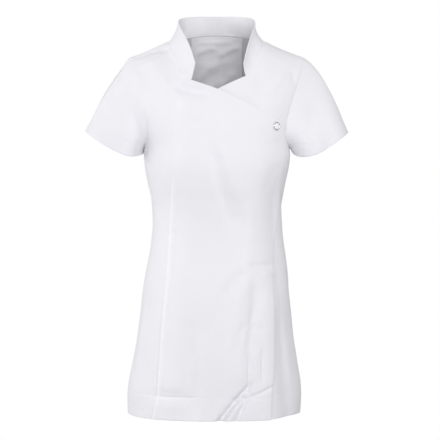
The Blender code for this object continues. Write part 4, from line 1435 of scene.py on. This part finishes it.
def sleeve_curves(sign, hand):
    """The sleeve's columns as curves of many points, from the armhole to the cuff."""
    cuff = {column: values[CUFFS["side"] == sign][0] for column, values in CUFFS.items()}
    seams = plain_seams(*(f"{name}_{hand}" for name in ("armhole", "side", "shoulder")))
    ring, out = seam_round(armhole_half, sign, seams)
    ring, out = evenly(np.vstack([ring, ring[:1]]), SLEEVE_COLUMNS, np.vstack([out, out[:1]]))
    crest = int(np.argmax(ring[:, 2]))
    steps = np.arange(SLEEVE_COLUMNS + 1)
    turn = np.where(steps <= crest, 1 - steps / crest, (steps - crest) / (SLEEVE_COLUMNS - crest))
    looped = np.vstack([ring[-2:-1], ring, ring[1:2]])
    away = unit(np.cross(np.gradient(looped, axis=0)[1:-1], out) * sign)
    tilt = np.radians(smooth(turn, SLEEVE_LIFT["turn"], SLEEVE_LIFT[hand]))[:, None]
    start = away * np.cos(tilt) + out * np.sin(tilt)
    foot = ring + start * SEAM_GAP

    slant = math.radians(cuff["slant"])
    aside = np.array([sign * math.cos(slant), 0, math.sin(slant)])
    down = np.array([sign * math.sin(slant), 0, -math.cos(slant)])
    outer = np.cos(turn * math.pi)[:, None]
    forward = np.where(steps < crest, 1.0, -1.0)[:, None] * np.sin(turn * math.pi)[:, None]
    hem = np.array([cuff["x"], cuff["y"], cuff["z"]]) + aside * cuff["across"] * outer
    hem = hem + forward * (np.array([0, -cuff["deep"], 0]) + down * cuff["dip"] * (1 - cuff["inward"] * outer))
    reach = np.linalg.norm(hem - foot, axis=1, keepdims=True)
    leave, arrive = foot + start * reach * SLEEVE_LEAVE, hem - down * reach * SLEEVE_ARRIVE
    t = np.linspace(0, 1, CURVE_STEPS + 1)[:, None, None]
    return (1 - t) ** 3 * foot + 3 * t * (1 - t) ** 2 * leave + 3 * t**2 * (1 - t) * arrive + t**3 * hem


print("curves round each sleeve:", SLEEVE_COLUMNS)

# %% [markdown]
# ## The sleeves' cloth
#
# The points of every curve are spaced by length from the armhole at first and from the cuff at last, so that the
# hem keeps its depth all round. The cloth then gets its folds, its seam under the arm and its stitched hem, which
# stands out a little because it is folded double.

# %% Sleeves
CUFF_DEPTH, CUFF_FLARE, CUFF_GROOVE = 0.026, 0.0022, 0.00012
SLEEVE_ROWS = 46
ROW_SPREAD = 1.3  # above 1, the rows lie closer near the armhole
NEAR_ARMHOLE = 0.0004
FOLDS_FULL_AT, UNDERARM_SEAM_FULL_AT = 0.03, 0.01  # how far from the armhole they reach their full height
CUFF_ROWS = 0.001 * np.array([-3.6, -2.2, -1.1, 0, 1.1, 2.2, 3.6, 7, 11, 15, 19, 22.5])


def sleeve_sheet(sign, hand):
    """The sleeve's grid: its rows follow the armhole at first and the cuff at last."""
    curves = sleeve_curves(sign, hand)
    far = far_along(curves)
    full = far[-1]
    upper = np.linspace(0, 1, SLEEVE_ROWS + 1)[:, None] ** ROW_SPREAD * (full - CUFF_DEPTH + CUFF_ROWS[0])
    near = np.full((1, len(full)), NEAR_ARMHOLE)
    at = np.concatenate([upper[:1], near, upper[1:], full - CUFF_DEPTH + CUFF_ROWS[1:, None], full[None, :]])
    middle = np.stack([read_at(at[:, c], far[:, c], curves[:, c]) for c in range(len(full))], axis=1)
    around = far_along(middle, axis=1)
    axis = middle[:, :-1].mean(axis=1, keepdims=True)
    out = facing_way(middle, middle - axis, closed=True)
    past = at - (full - CUFF_DEPTH)
    underarm = np.minimum(around, around[:, -1:] - around)
    push = (creases(middle, out, SLEEVE_CREASES) + drift(middle)) * ease(at / FOLDS_FULL_AT)
    push += seam_shape(middle, at + SEAM_GAP / 2, 0.0)
    push += seam_shape(middle, underarm, 0.0) * ease(at / UNDERARM_SEAM_FULL_AT)
    push += CUFF_FLARE * np.clip(past / CUFF_DEPTH, 0, 1) - CUFF_GROOVE * hump(past, HEM_GROOVE_WIDTH)
    push += puckers(middle, past)
    middle = middle + out * (push + SEAM_DIP * hump(at, SEAM_WIDTH))[..., None]
    middle[:, -1] = middle[:, 0]
    flat_map = np.stack([around - around[:, -1:] / 2, at], axis=-1)
    stitched = [int(np.argmin(np.abs(past[:, SLEEVE_COLUMNS // 2])))]
    hem_fold = HEM_FOLD * ease(past / HEM_FOLD_WITHIN)
    return grid_of_cloth(middle, out, flat_map, hem_fold, stitched=stitched, closed=True)


for hand, sign in SIGNS.items():
    sewn_piece(f"sleeve_{hand}_cloth", f"sleeve_{hand}", [sleeve_sheet(sign, hand)])

# %% [markdown]
# ## The stand collar
#
# The collar is a band of double cloth with a stiffener inside. It stands on the neck's seam and leans in towards
# its upper edge. Its two front ends stop short of each other, and the neck stays open between them.

# %% Collar tables
COLLAR_TOP = table(
    "share x_right x_left y z",
    (0.000, 0.0000, 0.0000, 0.0620, 0.0570),
    (0.160, 0.0410, 0.0410, 0.0555, 0.0563),
    (0.300, 0.0675, 0.0675, 0.0330, 0.0520),
    (0.440, 0.0790, 0.0790, 0.0000, 0.0435),
    (0.570, 0.0765, 0.0795, -0.0290, 0.0290),
    (0.700, 0.0670, 0.0725, -0.0530, 0.0100),
    (0.845, 0.0540, 0.0635, -0.0740, -0.0190),
    (1.000, 0.0440, 0.0560, -0.0900, -0.0510),
)
COLLAR_BOW = table(  # how far it bows out halfway up, in metres
    "share bow",
    (-1, -0.0010),
    (-0.45, -0.0030),
    (0, -0.0010),
    (0.45, -0.0055),
    (1, -0.0015),
)
COLLAR_WAVES = table(  # where along the collar, how wide as a share, and how far out near the foot
    "share width height",
    (-0.30, 0.030, 0.0016),
    (-0.12, 0.045, -0.0012),
    (0.10, 0.040, 0.0016),
    (0.26, 0.035, -0.0010),
    (-0.62, 0.040, 0.0012),
    (0.66, 0.040, 0.0012),
    (-0.86, 0.045, -0.0010),
    (0.86, 0.045, -0.0010),
)
print("waves along the collar's foot:", len(COLLAR_WAVES["share"]))

# %% [markdown]
# ## The collar from foot to upper edge
#
# The foot follows the neck's seam and the upper edge follows its table, so each column of the collar is a short
# line between the two. It bows a little halfway up and waves near the foot, where the seam pulls on it. Its wall is
# thicker than the body's, because two layers and the stiffener lie in it.

# %% Collar
COLLAR_WALL = 0.0021
COLLAR_COLUMNS, COLLAR_ROWS = 96, 16
COLLAR_NEAR_ENDS = (0.014, 0.986)
COLLAR_FOOT = 0.0008
WAVE_RISE, WAVE_FADE_FROM = 0.15, 0.2  # the waves are full between these parts of the collar's height


def collar_half(sign, hand):
    """The foot and the upper edge of one half of the collar, from the centre back to its front end."""
    seams = plain_seams("neck_" + hand, "shoulder_" + hand)
    seam = evenly(seam_round(neck_half, sign, seams)[0][::-1], COLLAR_COLUMNS)[0]
    along = np.linspace(0, 1, COLLAR_COLUMNS + 1)
    columns = ("x_" + hand, "y", "z")
    top = np.stack([smooth(along, COLLAR_TOP["share"], COLLAR_TOP[name]) for name in columns], axis=-1)
    return seam, top * (sign, 1, 1)


def collar_sheet():
    """The collar's grid, from its end at the wearer's right to the left one, and from the foot up."""
    (right_seam, right_top), (left_seam, left_top) = (collar_half(sign, hand) for hand, sign in SIGNS.items())
    seam, top = np.concatenate([right_seam[:0:-1], left_seam]), np.concatenate([right_top[:0:-1], left_top])
    share = np.linspace(-1, 1, len(seam))
    foot = seam + unit(top - seam) * COLLAR_FOOT
    out = unit(seam * (1, 1, 0))
    height = np.sort(np.append(np.linspace(0, 1, COLLAR_ROWS + 1), COLLAR_NEAR_ENDS))[:, None, None]
    bow = smooth(share, COLLAR_BOW["share"], COLLAR_BOW["bow"])[:, None]
    middle = foot + (top - foot) * height + out * bow * 4 * height * (1 - height)
    wavy = ease(height / WAVE_RISE) * (1 - ease((height - WAVE_FADE_FROM) / (1 - WAVE_FADE_FROM)))
    for at, width, tall in zip(*COLLAR_WAVES.values()):
        middle = middle + out * (tall * hump(share - at, width))[None, :, None] * wavy
    along = far_along(foot)
    up = height[..., 0] * np.linalg.norm(top - foot, axis=1)
    flat_map = np.stack([np.broadcast_to(along - along[-1] / 2, up.shape), up], axis=-1)
    return grid_of_cloth(middle, out, flat_map)


# The inner face is painted whiter than the outside: painted light on the collar's shaded inside.
collar_finishes = (WHITE_TWILL, TWILL_COLLAR_INSIDE_PAINTED_LIGHT)
sewn_piece("collar_cloth", "collar", [collar_sheet()], COLLAR_WALL, collar_finishes)

# %% [markdown]
# ## The neck facing
#
# Inside the back, below the collar, lies a facing: a second layer that finishes the neck neatly. It is the lighter
# patch that shows through the open neck. It isn't held along its lower edge, so it is a little creased.

# %% Neck facing
FACING_WALL = 0.0010
FACING_HALF_WIDTH, FACING_BOTTOM, FACING_BELOW_SEAM = 0.0545, -0.115, 0.0020
FACING_GAP = 0.0003
FACING_COLUMNS, FACING_ROWS = 44, 54
FACING_CREASES = table(  # all of them stand away from the back
    "x0 z0 x1 z1 bend width height",
    (-0.050, 0.004, 0.052, 0.006, 0.000, 0.006, 0.0022),
    (-0.050, -0.024, 0.010, -0.010, 0.008, 0.007, 0.0032),
    (0.000, -0.030, 0.056, -0.004, 0.005, 0.007, 0.0048),
    (-0.050, -0.044, 0.046, -0.030, -0.004, 0.010, 0.0030),
    (-0.056, -0.090, 0.010, -0.042, 0.008, 0.010, 0.0044),
    (0.002, -0.112, 0.048, -0.054, 0.008, 0.008, 0.0050),
    (-0.030, -0.116, 0.022, -0.072, 0.007, 0.008, 0.0040),
)


def facing_sheet():
    """The facing's grid, which lies just inside the back."""
    x = np.linspace(-FACING_HALF_WIDTH, FACING_HALF_WIDTH, FACING_COLUMNS + 1)
    top = neck_back_height(x) - FACING_BELOW_SEAM
    z = FACING_BOTTOM + (top - FACING_BOTTOM) * np.linspace(0, 1, FACING_ROWS + 1)[:, None]
    share, level = place(np.broadcast_to(x, z.shape), z, BACK)
    middle, out = lie(share, level, BACK, back_seams("right") | back_seams("left"))
    push = np.full(z.shape, (WALL + FACING_WALL) / 2 + FACING_GAP)
    spots = np.stack(np.broadcast_arrays(x, z), axis=-1)
    for x0, z0, x1, z1, bend, width, height in zip(*FACING_CREASES.values()):
        push += height * crease_shape(spots, x0, z0, x1, z1, bend, width)
    middle = middle - out * push[..., None]
    across, up = far_along(middle, axis=1), far_along(middle)
    flat_map = np.stack([across - across[:, -1:] / 2, up], axis=-1)
    return grid_of_cloth(middle, out, flat_map)


# Its finish is painted greyer than the outside, as painted shade inside the neck.
facing_finishes = (TWILL_FACING_PAINTED_SHADE,)
sewn_piece("neck_facing_cloth", "neck_facing", [facing_sheet()], FACING_WALL, facing_finishes)

# %% [markdown]
# ## The press stud
#
# One press stud closes the wrap, at the wearer's left armhole. What shows is a pearly cap in a plated ring. The cap
# is milky plastic with a faint swirl under a clear gloss. The ring is brass with nickel plate, which handling has
# made a little cloudy.

# %% Stud finishes
PEARL_BLUISH, PEARL_CREAMY = (0.90, 0.91, 0.93), (0.96, 0.96, 0.95)
NICKEL_DULL, NICKEL_BRIGHT = (0.70, 0.71, 0.73), (0.86, 0.86, 0.87)


def pearl(name):
    """Pearly plastic: a milky colour that swirls a little, under a clear gloss."""
    made, tree, shader = new_finish(name, Roughness=0.28, Coat_Weight=0.6, Coat_Roughness=0.08)
    where = node(tree, "TexCoord").outputs["Object"]
    swirl = noise(tree, where, Scale=260.0, Detail=3.0, Distortion=1.8)
    colour = mottled(tree, swirl, PEARL_BLUISH, PEARL_CREAMY, 0.35, 0.65)
    tree.links.new(colour, shader.inputs["Base Color"])
    tree.links.new(raise_by(tree, swirl, distance=0.00006, strength=0.3), shader.inputs["Normal"])
    return made


def plated(name):
    """Nickel plate, a little cloudy and rough from handling."""
    made, tree, shader = new_finish(name, Metallic=1.0, Roughness=0.22)
    cloudy = noise(tree, node(tree, "TexCoord").outputs["Object"], Scale=900.0, Detail=3.0)
    tree.links.new(mottled(tree, cloudy, NICKEL_DULL, NICKEL_BRIGHT), shader.inputs["Base Color"])
    tree.links.new(raise_by(tree, cloudy, distance=0.00004, strength=0.4), shader.inputs["Normal"])
    return made


PEARL, NICKEL = pearl("pearly_plastic"), plated("nickel_plate")
print("stud finishes:", PEARL.name, NICKEL.name)

# %% [markdown]
# ## The stud's profiles
#
# Both parts are round, so each is a closed profile of radius and height that is turned like a lathe's work. The
# ring rolls over at its outer edge and leaves a well for the cap, which is a low dome.

# %% Stud profiles
STUD_RING = table(
    "radius height",
    (0.0066, 0.0),
    (0.0081, 0.0),
    (0.0087, 0.0003),
    (0.0089, 0.0008),
    (0.0087, 0.0013),
    (0.0082, 0.0016),
    (0.0076, 0.0016),
    (0.0070, 0.0014),
    (0.0067, 0.0009),
    (0.0066, 0.0004),
)
STUD_CAP = table(
    "radius height",
    (0.0, 0.0),
    (0.0062, 0.0),
    (0.0065, 0.0004),
    (0.0065, 0.0012),
    (0.0063, 0.0019),
    (0.0057, 0.0024),
    (0.0047, 0.0027),
    (0.0034, 0.0029),
    (0.0018, 0.0030),
    (0.0, 0.0030),
)
print("the ring's width in mm:", round(2000 * float(STUD_RING["radius"].max()), 1))

# %% [markdown]
# ## The stud in its place
#
# The profiles are turned about the stud's own axis, which stands straight out of the cloth. A Screw modifier would
# turn them too, but the stud has to follow the cloth's tilt, so the rings of points are made along that axis here.

# %% Stud
STUD_X, STUD_Z = 0.1218, -0.1798
STUD_SEAT = 0.0002
STUD_TURNS, STUD_CREASE = 64, 60  # how many sides it has, and the angle above which an edge stays sharp


def turned(name, profile, centre, axis, finish, cad_node):
    """A round piece: a closed profile of radius and height, turned about an axis through the centre."""
    spoke_a = unit(np.cross(axis, (0, 0, 1.0)))
    spoke_b = np.cross(axis, spoke_a)
    angles = 2 * math.pi * np.arange(STUD_TURNS) / STUD_TURNS
    rings = []
    for radius, height in zip(*profile.values()):
        hub = centre + axis * height
        spokes = [radius * (spoke_a * math.cos(a) + spoke_b * math.sin(a)) for a in angles]
        rings.append([hub + spoke for spoke in spokes] if radius else [hub])
    starts = np.cumsum([0] + [len(ring) for ring in rings])
    faces = []
    for i, ring in enumerate(rings):
        j = (i + 1) % len(rings)
        if len(ring) + len(rings[j]) == 2:
            continue
        for k in range(STUD_TURNS):
            a, b = starts[i] + k % len(ring), starts[i] + (k + 1) % len(ring)
            c, d = starts[j] + (k + 1) % len(rings[j]), starts[j] + k % len(rings[j])
            faces.append(list(dict.fromkeys((int(a), int(d), int(c), int(b)))))
    mesh = bpy.data.meshes.new(name)
    mesh.from_pydata([point for ring in rings for point in ring], [], faces)
    mesh.shade_smooth()
    mesh.set_sharp_from_angle(angle=math.radians(STUD_CREASE))
    mesh.materials.append(finish)
    piece = put_in_scene(name, mesh)
    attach(piece, "root")
    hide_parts(cad_node)


stud_share, stud_level = place(np.array([[STUD_X]]), np.array([[STUD_Z]]), FRONT)
stud_lift = lap_lift(stud_share, stud_level) + edge_stand(stud_share, stud_level)
seat, stud_axis = (grid[0, 0] for grid in lie(stud_share, stud_level, FRONT, WRAP_SEAMS, stud_lift))
seat = seat + stud_axis * (WALL / 2 + STUD_SEAT)
turned("stud_ring_plated", STUD_RING, seat, stud_axis, NICKEL, "stud_ring")
turned("stud_cap_pearl", STUD_CAP, seat, stud_axis, PEARL, "stud_cap")
print("the stud sits at", np.round(seat, 4))
